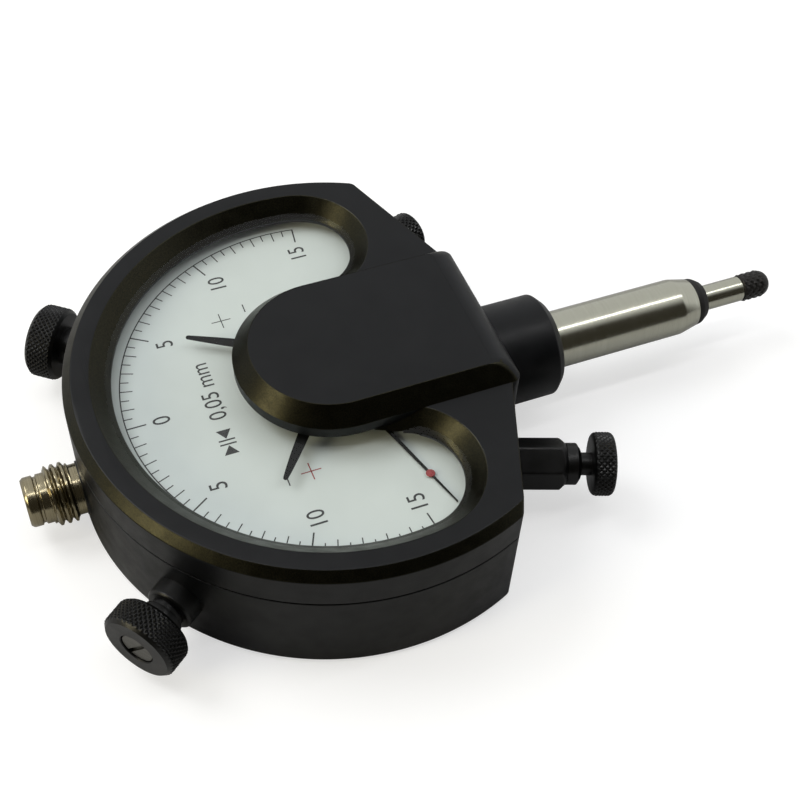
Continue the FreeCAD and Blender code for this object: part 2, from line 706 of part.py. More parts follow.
def sector_lever():
    """Toothed sector and fork in one plate, built about its own arbor."""
    z0 = SECTOR_Z
    z1 = z0 + SECTOR_T
    step = 360.0 / SECTOR_TEETH_FULL
    half = step * (SECTOR_TEETH / 2 + 0.4)
    spoke = 7
    root_r = SECTOR_R - 1.3 * MODULE
    plate = Part.makeCylinder(root_r, SECTOR_T, Vector(0, 0, z0), UP, 2 * half)
    plate.rotate(CENTRE, UP, -half)
    window = Part.makeCylinder(root_r - SECTOR_RIM, SECTOR_T, Vector(0, 0, z0), UP, 2 * (half - spoke))
    window.rotate(CENTRE, UP, spoke - half)
    plate = plate.cut(window.cut(upright(LEVER_WEB_R, CENTRE, z0, z1)))
    tooth = rack_tooth(root_r, SECTOR_R, SECTOR_R + 0.8 * MODULE, 1.12 * MODULE, z0, z1)
    shapes = [plate, upright(LEVER_HUB_R, CENTRE, z0, z1)]
    for i in range(SECTOR_TEETH):
        one = tooth.copy()
        one.rotate(CENTRE, UP, step * (i - SECTOR_TEETH // 2))
        shapes.append(one)
    centre = math.degrees(math.atan2(-PIVOT.y, -PIVOT.x))
    fork = bar(CENTRE, Vector(LEVER_ARM + PIVOT_R, 0, 0), FORK_R, z0, z1)
    slot = bar(Vector(LEVER_ARM - PIVOT_R, 0, 0), Vector(LEVER_ARM + LEVER_HUB_R, 0, 0), FORK_SLOT_R, z0, z1)
    fork = fork.cut(slot)
    fork.rotate(CENTRE, UP, -centre)
    lever = joined(shapes + [fork]).cut(upright(PIVOT_R, CENTRE, z0, z1))
    lever.rotate(CENTRE, UP, centre + phase_turn())
    lever.translate(PIVOT)
    return lever


def sector_arbor():
    return upright(PIVOT_R, PIVOT, LOWER_Z, PIVOT_TOP_Z)


def pointer_arbor():
    """Hollow arbor and pinion. A pinion gap faces the sector tooth nearest the line of centres."""
    centre = math.degrees(math.atan2(PIVOT.y, PIVOT.x))
    tooth_step = 360.0 / SECTOR_TEETH_FULL
    offset = phase_turn() - round(phase_turn() / tooth_step) * tooth_step
    turn = -offset * SECTOR_TEETH_FULL / PINION_TEETH
    first = centre + turn + 180.0 / PINION_TEETH
    pinion = gear(PINION_TEETH, MODULE, 0.8 * MODULE, SECTOR_Z - CLEAR, SECTOR_Z + SECTOR_T + CLEAR,
                  1.12 * MODULE, first)
    body = joined([upright(ARBOR_R, CENTRE, ARBOR_Z, ARBOR_TOP_Z), pinion])
    return body.cut(upright(ARBOR_IN, CENTRE, ARBOR_Z, ARBOR_TOP_Z))


def hairspring_collet():
    return ring(COLLET_R, ARBOR_R, HAIRSPRING_Z - CLEAR, HAIRSPRING_Z + HAIRSPRING_W + CLEAR)


def hairspring_stud():
    return upright(STUD_R, STUD, HAIRSPRING_Z - CLEAR, SEAM_Z - CLEAR)


def hairspring():
    """Flat spiral between the collet and the stud."""
    count = HAIRSPRING_TURNS * 14
    half = HAIRSPRING_T / 2
    start_r = COLLET_R + 1.5 * half
    end_r = STUD.Length - STUD_R - half
    end_a = math.atan2(STUD.y, STUD.x)
    inner = []
    outer = []
    for i in range(count + 1):
        part = i / count
        middle = start_r + (end_r - start_r) * part
        a = end_a + (part - 1) * HAIRSPRING_TURNS * 2 * math.pi
        inner.append(((middle - half) * math.cos(a), (middle - half) * math.sin(a)))
        outer.append(((middle + half) * math.cos(a), (middle + half) * math.sin(a)))
    return prism(inner + outer[::-1], HAIRSPRING_Z, HAIRSPRING_Z + HAIRSPRING_W)


# Pointer and hands

def tapered(path, widths, z0, z1):
    """Flat blade along path, with a width at each point."""
    left = []
    right = []
    for i, point in enumerate(path):
        before = path[max(i - 1, 0)]
        after = path[min(i + 1, len(path) - 1)]
        side = UP.cross(after - before).normalize() * (widths[i] / 2)
        left.append(((point + side).x, (point + side).y))
        right.append(((point - side).x, (point - side).y))
    return prism(left + right[::-1], z0, z1)


def hand(path, z, hub_r, bore_r, hub_z0, hub_z1):
    blade = tapered(path, [HAND_ROOT_W, HAND_W, HAND_TIP_W], z, z + HAND_T)
    return joined([upright(hub_r, CENTRE, hub_z0, hub_z1), blade]).cut(upright(bore_r, CENTRE, hub_z0, hub_z1))


def pointer():
    slim = 1.0
    path = [compass(POINTER_REST, r) for r in (-7.0, -2.0, 2.0, POINTER_R / 2, POINTER_R)]
    blade = tapered(path, [1.6 * slim, slim, slim, 0.65 * slim, 0.28 * slim], POINTER_Z, POINTER_Z + POINTER_T)
    weight = upright(WEIGHT_R, compass(POINTER_REST, -6.6), POINTER_Z, POINTER_Z + GASKET_IN)
    hub = upright(POINTER_HUB_R, CENTRE, POINTER_Z, POINTER_Z + POINTER_HUB_T)
    return joined([hub, blade, weight]).cut(upright(ARBOR_R, CENTRE, POINTER_Z, POINTER_Z + POINTER_HUB_T))


def pointer_diamond():
    mark = Part.makeBox(DIAMOND, DIAMOND, 0.8 * CLEAR, Vector(-DIAMOND / 2, -DIAMOND / 2, 0))
    mark.rotate(CENTRE, UP, 45 - POINTER_REST)
    mark.translate(compass(POINTER_REST, POINTER_R - DIAMOND_IN, POINTER_Z + POINTER_T))
    return mark


def left_limit_hand():
    tip_r = HAND_R - LEFT_HAND_SHORTER
    path = [compass(LEFT_HAND_REST, r) for r in (HAND_TIP_W, 0.65 * tip_r, tip_r)]
    blade = hand(path, LEFT_HAND_Z, LEVER_HUB_R, TUBE_R, LEFT_HAND_Z - HAND_T - RUNNING, LEFT_HAND_Z + HAND_T)
    width = LEFT_HAND_SHORTER
    block = Part.makeBox(width, width, HAND_TIP_W + RUNNING, Vector(-width / 2, -width / 2, 0))
    block.rotate(CENTRE, UP, -LEFT_HAND_REST)
    block.translate(compass(LEFT_HAND_REST, HAND_STOP_R, LEFT_HAND_Z - HAND_TIP_W))
    return joined([blade, block])


def right_limit_hand():
    tip = compass(RIGHT_HAND_REST, HAND_R)
    knee = tip - compass(RIGHT_HAND_LINE, 0.41 * HAND_R)
    path = [knee * 0.06, knee, tip]
    hub_top = RIGHT_HAND_Z + 3 * HAND_T
    return hand(path, RIGHT_HAND_Z, LEVER_HUB_R - HAND_T, ROD_R, RIGHT_HAND_Z, hub_top)


def left_limit_tube():
    return ring(TUBE_R, TUBE_IN, LEFT_WHEEL_Z - HAND_T, LEFT_HAND_Z + HAND_T)


def right_limit_rod():
    return upright(ROD_R, CENTRE, COVER_T + 4 * CLEAR, RIGHT_HAND_Z + 3 * HAND_T + CLEAR)


# Limit train

def crown_wheel(teeth, web_z, bore_r, gap_compass):
    """Face wheel with its teeth standing up, and round holes in its web."""
    pitch_r = LIMIT_MODULE * teeth / 2
    inner = pitch_r - WHEEL_FACE / 2
    outer = pitch_r + WHEEL_FACE / 2
    rim_out = outer + 2 * CLEAR
    rim_in = inner - 3 * CLEAR
    web = ring(rim_out, bore_r, web_z, web_z + WHEEL_WEB_T)
    rim = ring(rim_out, rim_in, web_z, CROWN_ROOT_Z)
    hub = ring(WHEEL_HUB_R, bore_r, web_z - 3 * CLEAR, web_z + 6 * CLEAR)
    half = 0.6 * LIMIT_MODULE
    slope = 0.3
    foot_half = half + CROWN_DEPTH * slope
    tip_half = half - CROWN_HEIGHT * slope
    low = CROWN_ROOT_Z - RUNNING
    section = [(-foot_half, low), (-half, CROWN_PITCH_Z), (-tip_half, CROWN_TIP_Z),
               (tip_half, CROWN_TIP_Z), (half, CROWN_PITCH_Z), (foot_half, low)]
    points = [Vector(inner, y, z) for y, z in section]
    tooth = Part.Face(Part.makePolygon(points + [points[0]])).extrude(Vector(WHEEL_FACE, 0, 0))
    shapes = [web, rim, hub]
    step = 360.0 / teeth
    for i in range(teeth):
        one = tooth.copy()
        one.rotate(CENTRE, UP, 90 - gap_compass + step * (i + 0.5))
        shapes.append(one)
    wheel = joined(shapes)
    middle_r = (rim_in + WHEEL_HUB_R) / 2
    count = 5
    hole_r = min((rim_in - WHEEL_HUB_R) / 2 - SHAFT_R, 0.8 * middle_r * math.sin(math.pi / count))
    return without(wheel, [upright(hole_r, compass(360.0 * i / count, middle_r), web_z, CROWN_TIP_Z)
                           for i in range(count)])


def radial(shape, side):
    """Stands a shape made along +Z on the limit knob's axis, its +X side facing down."""
    turn = FreeCAD.Rotation(NORTH, 90)
    spin = FreeCAD.Rotation(UP, 90 - side * LIMIT_COMPASS)
    shape.Placement = FreeCAD.Placement(Vector(0, 0, KNOB_Z), spin.multiply(turn))
    return shape


def limit_shaft(side, pinion_at):
    """Knob shaft with its pinion, by distance from the pointer axis."""
    half = WHEEL_FACE / 2
    body = turned([(pinion_at + half - CLEAR, SHAFT_SLIM_R), (SHAFT_STEP, SHAFT_SLIM_R), (SHAFT_STEP, SHAFT_R),
                   (SHAFT_END, SHAFT_R)])
    body = body.cut(upright(KNOB_SCREW_R, CENTRE, SHAFT_END - KNOB_SCREW_LENGTH, SHAFT_END))
    pinion = gear(LIMIT_PINION_TEETH, LIMIT_MODULE, CROWN_HEIGHT, pinion_at - half, pinion_at + half,
                  1.2 * LIMIT_MODULE)
    return radial(joined([body, pinion]), side)


def limit_knob(side):
    back = KNOB_FRONT - KNOB_T
    body = turned([(KNOB_HUB_BACK, KNOB_HUB_R), (back, KNOB_HUB_R), (back, KNOB_R - KNOB_BEVEL),
                   (back + KNOB_BEVEL, KNOB_R), (KNOB_FRONT - KNOB_BEVEL, KNOB_R),
                   (KNOB_FRONT, KNOB_R - KNOB_BEVEL)])
    cutters = [upright(SHAFT_R, CENTRE, KNOB_HUB_BACK, SHAFT_END),
               upright(KNOB_SCREW_R, CENTRE, SHAFT_END, KNOB_FRONT),
               upright(KNOB_RECESS_R, CENTRE, KNOB_FRONT - KNOB_RECESS, KNOB_FRONT)]
    return radial(without(body, cutters), side)


def knob_screw(side):
    head_t = KNOB_RECESS - HEAD_SUNK
    body = screw(KNOB_SCREW_R, KNOB_SCREW_LENGTH, KNOB_SCREW_HEAD_R, head_t, slot_turn=KNOB_SLOT_TURN)
    body = placed(body, Vector(0, 0, KNOB_FRONT - HEAD_SUNK), UP * -1)
    return radial(Part.makeCompound([body]), side).Solids[0]


def at_both_knobs(make):
    return Part.makeCompound([radial(make(), side) for side in (-1, 1)])


def limit_bush():
    bevel = LIMIT_BUSH_END - GASKET_IN
    body = turned([(CASE_R - LIMIT_BUSH_IN, LIMIT_BUSH_SLIM_R), (CASE_R, LIMIT_BUSH_SLIM_R),
                   (CASE_R, LIMIT_BUSH_R), (bevel, LIMIT_BUSH_R), (LIMIT_BUSH_END, LIMIT_BUSH_R - GASKET_IN)])
    return body.cut(upright(SHAFT_HOLE_R, CENTRE, CASE_R - LIMIT_BUSH_IN, LIMIT_BUSH_END))


def friction_washer():
    return ring(LIMIT_BUSH_SLIM_R, SHAFT_HOLE_R, LIMIT_BUSH_END, LIMIT_BUSH_END + WASHER_T)


def limit_bearing_posts():
    posts = []
    for side in (-1, 1):
        post = Part.makeBox(POST_LENGTH, POST_WIDTH, LEDGE_Z - POST_LOW_Z,
                            Vector(POST_NEAR, -POST_WIDTH / 2, POST_LOW_Z))
        post.rotate(CENTRE, UP, 90 - side * LIMIT_COMPASS)
        posts.append(post.cut(limit_rod(SHAFT_HOLE_R, side, POST_NEAR - SHAFT_R, POST_NEAR + 2 * POST_LENGTH)))
    return Part.makeCompound(posts)


# Stem and spindle

def along_stem(profile):
    """Turned piece on the stem axis from (y, radius) points."""
    return turned([(-y, radius) for y, radius in profile], Vector(0, 0, STEM_Z), OUT)


def bore(radius, start_y, end_y):
    return rod(radius, Vector(0, start_y, STEM_Z), OUT, start_y - end_y)


def stem():
    body = along_stem([(STEM_BACK_Y, STEM_NECK_R), (END_Y, STEM_NECK_R), (END_Y, STEM_SEAT_R),
                       (COLLAR_END_Y, STEM_SEAT_R), (COLLAR_END_Y, STEM_R), (STEM_TAPER_Y, STEM_R),
                       (STEM_END_Y, STEM_MOUTH_R)])
    return without(body, [bore(STEM_REAR_R, STEM_BACK_Y, REAR_BUSH_Y), bore(STEM_BORE_R, REAR_BUSH_Y, STEM_BORE_Y),
                          bore(STEM_LIP_R, STEM_BORE_Y, STEM_END_Y)])


def stem_collar():
    body = along_stem([(END_Y, COLLAR_R), (COLLAR_END_Y + COLLAR_BEVEL, COLLAR_R),
                       (COLLAR_END_Y, COLLAR_R - COLLAR_BEVEL)])
    return body.cut(bore(STEM_SEAT_R, END_Y, COLLAR_END_Y))


def front_bush():
    return bore(STEM_BORE_R, FRONT_BUSH_Y, STEM_BORE_Y).cut(bore(SPINDLE_R + RUNNING, FRONT_BUSH_Y, STEM_BORE_Y))


def rear_bush():
    return bore(STEM_REAR_R, STEM_BACK_Y, REAR_BUSH_Y).cut(bore(SPINDLE_SLIM_R + RUNNING, STEM_BACK_Y, REAR_BUSH_Y))


def seal_ring():
    end_y = STEM_END_Y - SEAL_LENGTH
    body = along_stem([(STEM_END_Y, STEM_MOUTH_R), (STEM_END_Y - HEAD_T + GASKET_IN, STEM_MOUTH_R - CLEAR),
                       (end_y, SEAL_FACE_R)])
    return body.cut(bore(SPINDLE_R + RUNNING, STEM_END_Y, end_y))


def spindle_spring():
    return coil(SPRING_R, SPRING_WIRE, SPRING_TURNS, Vector(0, REAR_BUSH_Y, STEM_Z), OUT,
                REAR_BUSH_Y - SPINDLE_STOP_Y)


def driver_place():
    """Middle of the lever pin at rest: the travel is shared evenly about the pivot's height."""
    return Vector(0, PIVOT.y - SPINDLE_TRAVEL / 2, 0)


def spindle():
    stop_end = SPINDLE_STOP_Y - SPINDLE_STOP_T
    body = along_stem([(SPINDLE_BACK_Y, SPINDLE_SLIM_R - HEAD_SUNK), (SPINDLE_BACK_Y - HEAD_SUNK, SPINDLE_SLIM_R),
                       (SPINDLE_STOP_Y, SPINDLE_SLIM_R), (SPINDLE_STOP_Y, SPINDLE_STOP_R),
                       (stop_end, SPINDLE_STOP_R), (stop_end, SPINDLE_R), (SPINDLE_END_Y, SPINDLE_R)])
    return without(body, [bore(TIP_STUD_R, SPINDLE_END_Y + TIP_STUD_LENGTH, SPINDLE_END_Y),
                          upright(DRIVER_R, driver_place(), LOWER_Z, STEM_Z + SPINDLE_R)])


def driver_pin():
    return upright(DRIVER_R, driver_place(), LOWER_Z, SECTOR_Z + SECTOR_T + HEAD_SUNK)


def contact_tip():
    dome_y = TIP_END_Y + TIP_DOME
    body = along_stem([(SPINDLE_END_Y + TIP_STUD_LENGTH, TIP_STUD_R), (SPINDLE_END_Y, TIP_STUD_R),
                       (SPINDLE_END_Y, TIP_R), (dome_y, TIP_R)])
    dome = Part.makeSphere(TIP_R, Vector(0, dome_y, STEM_Z))
    return joined([body, dome.common(bore(TIP_R + CLEAR, dome_y, TIP_END_Y))])


# Shoulder fittings

def on_shoulder(shape, side):
    return placed(shape, foot(side), foot_direction(side))


def lifter_standoff():
    bevel = SHAFT_R
    body = hexagon(LIFTER_FLATS, 0, LIFTER_HEX)
    body = body.common(turned([(0, LIFTER_FLATS), (LIFTER_HEX - bevel, LIFTER_FLATS / 2 + bevel / 2),
                               (LIFTER_HEX, LIFTER_NUT_R)]))
    body = joined([body, upright(LIFTER_STUB_R, CENTRE, -LIFTER_STUB, 0)])
    cutters = [upright(LIFTER_ROD_R + RUNNING, CENTRE, -LIFTER_STUB, LIFTER_HEX),
               upright(LIFTER_BORE_R, CENTRE, PILLAR_SCREW_R, LIFTER_HEX)]
    return on_shoulder(without(body, cutters), -1)


def lifter_nut():
    start = LIFTER_HEX - LIFTER_THREAD
    end = LIFTER_HEX + LIFTER_NUT_T
    body = turned([(start, LIFTER_THREAD_R), (LIFTER_HEX, LIFTER_THREAD_R), (LIFTER_HEX, LIFTER_NUT_R),
                   (end - DRIVER_R, LIFTER_NUT_R), (end, LIFTER_THREAD_R + CLEAR)])
    return on_shoulder(body.cut(upright(LIFTER_NECK_R + RUNNING, CENTRE, start, end)), -1)


def lifter_spring():
    length = LIFTER_HEX - LIFTER_THREAD - CLEAR - LIFTER_STOP_T - PILLAR_SCREW_R
    return coil(LIFTER_SPRING_R, LIFTER_SPRING_WIRE, LIFTER_SPRING_TURNS, foot(-1, PILLAR_SCREW_R),
                foot_direction(-1), length)


def lifter_rod():
    stop = LIFTER_HEX - LIFTER_THREAD - CLEAR
    body = turned([(-LIFTER_ROD_IN, LIFTER_ROD_R - HEAD_SUNK), (HEAD_SUNK - LIFTER_ROD_IN, LIFTER_ROD_R),
                   (stop - LIFTER_STOP_T, LIFTER_ROD_R), (stop - LIFTER_STOP_T, LIFTER_STOP_R),
                   (stop, LIFTER_STOP_R), (stop, LIFTER_NECK_R), (LIFTER_KNOB_BACK, LIFTER_NECK_R),
                   (LIFTER_KNOB_BACK, LIFTER_ROD_R), (LIFTER_KNOB_BACK + SMALL_KNOB_BORE, LIFTER_ROD_R)])
    return on_shoulder(body, -1)


def small_knob(back, radius, bore_r):
    drum = upright(radius, CENTRE, back, back + SMALL_KNOB_T)
    rims = [e for e in drum.Edges if isinstance(e.Curve, Part.Circle)]
    drum = drum.makeFillet(SMALL_KNOB_ROUNDING, rims)
    return drum.cut(upright(bore_r, CENTRE, back, back + SMALL_KNOB_BORE))


def lifter_knob():
    return on_shoulder(small_knob(LIFTER_KNOB_BACK, LIFTER_KNOB_R, LIFTER_ROD_R), -1)


def adjuster_bush():
    end = ADJUSTER_KNOB_BACK - ADJUSTER_NECK - GASKET_IN
    body = turned([(-WALL, ADJUSTER_STUB_R), (0, ADJUSTER_STUB_R), (0, ADJUSTER_BUSH_R), (end, ADJUSTER_BUSH_R)])
    return on_shoulder(body.cut(upright(ADJUSTER_SCREW_R + RUNNING, CENTRE, -WALL, end)), 1)


def adjuster_screw():
    end = ADJUSTER_KNOB_BACK
    body = turned([(-ADJUSTER_SCREW_IN, ADJUSTER_SCREW_R - GASKET_IN), (GASKET_IN - ADJUSTER_SCREW_IN, ADJUSTER_SCREW_R),
                   (end - ADJUSTER_NECK, ADJUSTER_SCREW_R), (end - ADJUSTER_NECK, ADJUSTER_NECK_R),
                   (end, ADJUSTER_NECK_R), (end, ADJUSTER_SCREW_R), (end + SMALL_KNOB_BORE, ADJUSTER_SCREW_R)])
    return on_shoulder(body, 1)


def adjuster_knob():
    return on_shoulder(small_knob(ADJUSTER_KNOB_BACK, ADJUSTER_KNOB_R, ADJUSTER_SCREW_R), 1)


# Connector

def on_connector(shape):
    return placed(shape, Vector(0, 0, CONNECTOR_Z), NORTH)


def connector_shell():
    washer_end = CASE_R + WASHER_T
    crest = CASE_R + THREAD_START
    rise = 0.3 * THREAD_PITCH
    profile = [(CASE_R - CONNECTOR_IN, CONNECTOR_BARREL_R), (washer_end, CONNECTOR_BARREL_R),
               (washer_end, CONNECTOR_RING_R), (crest - CLEAR, CONNECTOR_RING_R)]
    for i in range(THREADS):
        profile += [(crest, THREAD_ROOT_R), (crest + rise, THREAD_CREST_R), (crest + 2 * rise, THREAD_CREST_R),
                    (crest + 3 * rise, THREAD_ROOT_R)]
        crest += THREAD_PITCH
    sleeve = CASE_R + SLEEVE_START
    groove = sleeve + THREAD_PITCH
    groove_r = CONNECTOR_SLEEVE_R - CONNECTOR_SLEEVE_R / 13
    bevel = 0.4 * THREAD_PITCH
    profile += [(sleeve, CONNECTOR_SLEEVE_R), (groove - CLEAR, CONNECTOR_SLEEVE_R), (groove, groove_r),
                (groove + rise, groove_r), (groove + rise + CLEAR, CONNECTOR_SLEEVE_R),
                (CONNECTOR_END_Y - bevel, CONNECTOR_SLEEVE_R), (CONNECTOR_END_Y, CONNECTOR_SLEEVE_R - rise)]
    hole = upright(CONNECTOR_BORE_R, CENTRE, CASE_R - CONNECTOR_IN, CONNECTOR_END_Y)
    return on_connector(turned(profile).cut(hole))


def connector_washer():
    return on_connector(ring(CONNECTOR_WASHER_R, CONNECTOR_BARREL_R, CASE_R, CASE_R + WASHER_T))


def pin_rods(start, end):
    angles = [45 + 360.0 * i / PINS for i in range(PINS)]
    return [upright(PIN_R, compass(a, PIN_CIRCLE_R), start, end) for a in angles]


def connector_insert():
    start = CASE_R - 0.7 * CONNECTOR_IN
    end = CONNECTOR_END_Y - CONNECTOR_BORE_R / 2
    return on_connector(without(upright(CONNECTOR_BORE_R, CENTRE, start, end), pin_rods(start, end)))


def connector_pins():
    return on_connector(Part.makeCompound(pin_rods(CASE_R - 1.1 * CONNECTOR_IN, CONNECTOR_END_Y - PIN_R)))


# Screws

def cover_screws():
    return Part.makeCompound([screw(SCREW_R, COVER_SCREW_LENGTH, HEAD_R, 0.8 * HEAD_T, Vector(at.x, at.y, CLEAR))
                              for at in cover_screw_places()])


def case_screws():
    length = LIP_Z - HEAD_R - CLEAR - HEAD_SUNK
    head_t = HEAD_R + CLEAR - HEAD_SUNK
    return Part.makeCompound([screw(SCREW_R, length, HEAD_R, head_t, Vector(at.x, at.y, HEAD_SUNK))
                              for at in case_screw_places()])


def bridge_screws():
    return Part.makeCompound([screw(SCREW_R, BRIDGE_SCREW_LENGTH, HEAD_HOLE_R, HEAD_T,
                                    Vector(at.x, at.y, BRIDGE_SCREW_Z)) for at in bridge_screw_places()])


PIECES = {
    "case_body": case_body,
    "back_cover": back_cover,
    "cover_screws": cover_screws,
    "case_screws": case_screws,
    "seam_gasket": seam_gasket,
    "front_ring": front_ring,
    "bridge_cover": bridge_cover,
    "bridge_screws": bridge_screws,
    "crystal": crystal,
    "dial_plate": dial_plate,
    "movement_plate": movement_plate,
    "plate_pillars": plate_pillars,
    "pillar_screws": pillar_screws,
    "lower_bridge": lower_bridge,
    "centre_post": centre_post,
    "lower_pivot_bush": lower_pivot_bush,
    "limit_bearing_posts": limit_bearing_posts,
    "limit_bushes": lambda: at_both_knobs(limit_bush),
    "friction_washers": lambda: at_both_knobs(friction_washer),
    "stem": stem,
    "stem_collar": stem_collar,
    "front_bush": front_bush,
    "rear_bush": rear_bush,
    "seal_ring": seal_ring,
    "spindle_spring": spindle_spring,
    "spindle": spindle,
    "driver_pin": driver_pin,
    "contact_tip": contact_tip,
    "sector_lever": sector_lever,
    "sector_arbor": sector_arbor,
    "pointer_arbor": pointer_arbor,
    "hairspring_collet": hairspring_collet,
    "hairspring_stud": hairspring_stud,
    "hairspring": hairspring,
    "pointer": pointer,
    "pointer_diamond": pointer_diamond,
    "left_limit_hand": left_limit_hand,
    "left_limit_tube": left_limit_tube,
    "left_limit_wheel": lambda: crown_wheel(LEFT_WHEEL_TEETH, LEFT_WHEEL_Z, TUBE_R, -LIMIT_COMPASS),
    "right_limit_hand": right_limit_hand,
    "right_limit_rod": right_limit_rod,
    "right_limit_wheel": lambda: crown_wheel(RIGHT_WHEEL_TEETH, RIGHT_WHEEL_Z, ROD_R, LIMIT_COMPASS),
    "left_limit_shaft": lambda: limit_shaft(-1, LIMIT_MODULE * LEFT_WHEEL_TEETH / 2),
    "left_limit_knob": lambda: limit_knob(-1),
    "left_knob_screw": lambda: knob_screw(-1),
    "right_limit_shaft": lambda: limit_shaft(1, LIMIT_MODULE * RIGHT_WHEEL_TEETH / 2),
    "right_limit_knob": lambda: limit_knob(1),
    "right_knob_screw": lambda: knob_screw(1),
    "lifter_standoff": lifter_standoff,
    "lifter_nut": lifter_nut,
    "lifter_spring": lifter_spring,
    "lifter_rod": lifter_rod,
    "lifter_knob": lifter_knob,
    "adjuster_bush": adjuster_bush,
    "adjuster_screw": adjuster_screw,
    "adjuster_knob": adjuster_knob,
    "connector_shell": connector_shell,
    "connector_washer": connector_washer,
    "connector_insert": connector_insert,
    "connector_pins": connector_pins,
}

for name, make in PIECES.items():
    piece = make()
    piece.exportStep("parts/" + name + ".step")
    print(name, len(piece.Solids), round(piece.Volume, 2), piece.isValid())
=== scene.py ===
import json
import math

import bmesh
import bpy
from mathutils import Matrix, Vector
from mathutils.geometry import tessellate_polygon


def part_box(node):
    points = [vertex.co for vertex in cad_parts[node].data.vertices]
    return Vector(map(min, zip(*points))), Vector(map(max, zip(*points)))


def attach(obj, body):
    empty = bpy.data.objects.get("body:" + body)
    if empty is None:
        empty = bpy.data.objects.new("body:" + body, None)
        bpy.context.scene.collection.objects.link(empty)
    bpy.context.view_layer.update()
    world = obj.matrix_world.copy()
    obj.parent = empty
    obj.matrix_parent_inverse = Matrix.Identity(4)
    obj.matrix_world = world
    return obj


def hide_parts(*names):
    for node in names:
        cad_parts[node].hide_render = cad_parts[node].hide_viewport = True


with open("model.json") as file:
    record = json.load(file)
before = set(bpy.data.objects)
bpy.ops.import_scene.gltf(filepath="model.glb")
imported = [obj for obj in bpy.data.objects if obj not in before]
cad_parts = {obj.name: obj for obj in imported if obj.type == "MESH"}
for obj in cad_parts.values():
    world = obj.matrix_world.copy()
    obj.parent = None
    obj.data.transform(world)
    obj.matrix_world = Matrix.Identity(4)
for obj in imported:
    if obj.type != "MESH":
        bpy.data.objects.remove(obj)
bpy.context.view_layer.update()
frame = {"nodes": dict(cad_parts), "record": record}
nodes = frame["nodes"]

MM = 0.001


def box_low(node):
    """Lowest corner of a CAD node, in millimetres."""
    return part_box(node)[0] / MM


def box_high(node):
    """Highest corner of a CAD node, in millimetres."""
    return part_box(node)[1] / MM


# Camera, in degrees, millimetres and pixels
CAMERA_AZ = -114.546
CAMERA_EL = 50.801
CAMERA_ROLL = 3.713
CAMERA_DISTANCE = 183.49
CAMERA_TARGET = (-1.835, -9.058, 8.0)
CAMERA_FOCAL_PX = 1371.012
CAMERA_SENSOR = 36.0
PHOTO_PX = 800.0

# Sizes that follow from the CAD's nodes, in millimetres
CASE_R = box_high("case_body").x
CASE_Y = box_high("case_body").y - CASE_R
CASE_TOP = box_high("case_body").z
END_Y = box_low("case_body").y
SEAT_Z = box_low("movement_plate").z
RING_BOTTOM = box_low("front_ring").z
FACE_Z = box_high("front_ring").z
BLOCK_X = box_high("bridge_cover").x
BRIDGE_Z = box_high("bridge_cover").z
CRYSTAL_Z = box_low("crystal").z
CRYSTAL_TOP = box_high("crystal").z
DIAL_Z = box_high("dial_plate").z
KNOB_Z = (box_low("limit_bushes").z + box_high("limit_bushes").z) / 2
COLLAR_R = box_high("stem_collar").x
COLLAR_END = -box_low("stem_collar").y
STEM_Z = box_low("stem_collar").z + COLLAR_R
STEM_R = box_high("stem").x
STEM_END = -box_low("stem").y
SEAL_R = box_high("seal_ring").x
SEAL_END = -box_low("seal_ring").y
SPINDLE_START = -box_high("spindle").y
SPINDLE_END = -box_low("spindle").y
FLANGE_R = box_high("spindle").x
TIP_R = box_high("contact_tip").x
TIP_END = -box_low("contact_tip").y
WASHER_R = box_high("connector_washer").x
WASHER_END = box_high("connector_washer").y
CONNECTOR_R = box_high("connector_shell").x
CONNECTOR_END = box_high("connector_shell").y
CONNECTOR_Z = box_low("connector_washer").z + WASHER_R

# Sizes of the case that no box gives, in millimetres
SHOULDER = math.radians(20.2)
SHOULDER_X = 21.0
SHOULDER_Y = -16.4
CORNER_FILLET = 1.2
BLOCK_FILLET = 1.3
FACE_BEVEL = 1.15
BACK_BEVEL = 0.6
RIM_IN = 2.0
HOLLOW_IN = 4.0
OPENING_R = 29.75
NARROW_R = 27.3
LIP_Z = 16.6
UNDERCUT_R = 28.6
UNDERCUT_Z = 16.1
LOBE_X = 20.0
LOBE_Y = -2.3
BRIDGE_TOP_X = 10.2
BRIDGE_END_R = 4.0
NOSE_Y = 0.4
NOSE_RIM_END_Y = -14.0

# Radii round the hub at which the dial opening's two lobes join under the bridge
CUSP_R = 8.5
JOIN_TOP_R = 12.2
JOIN_LOW_R = 15.8
CAVITY_R = 13.2

# The crystal, which follows the slope of the opening
GLASS_TOP_R = 28.0
GLASS_LOW_R = 27.37
GLASS_HUB_R = 10.4

# Points on the larger curves
DISC_STEPS = 90
LOBE_STEPS = 48
JOIN_STEPS = 24

# A softened edge, and how far a piece reaches into the one that holds it
EDGE = 0.12
SUNK = 0.1


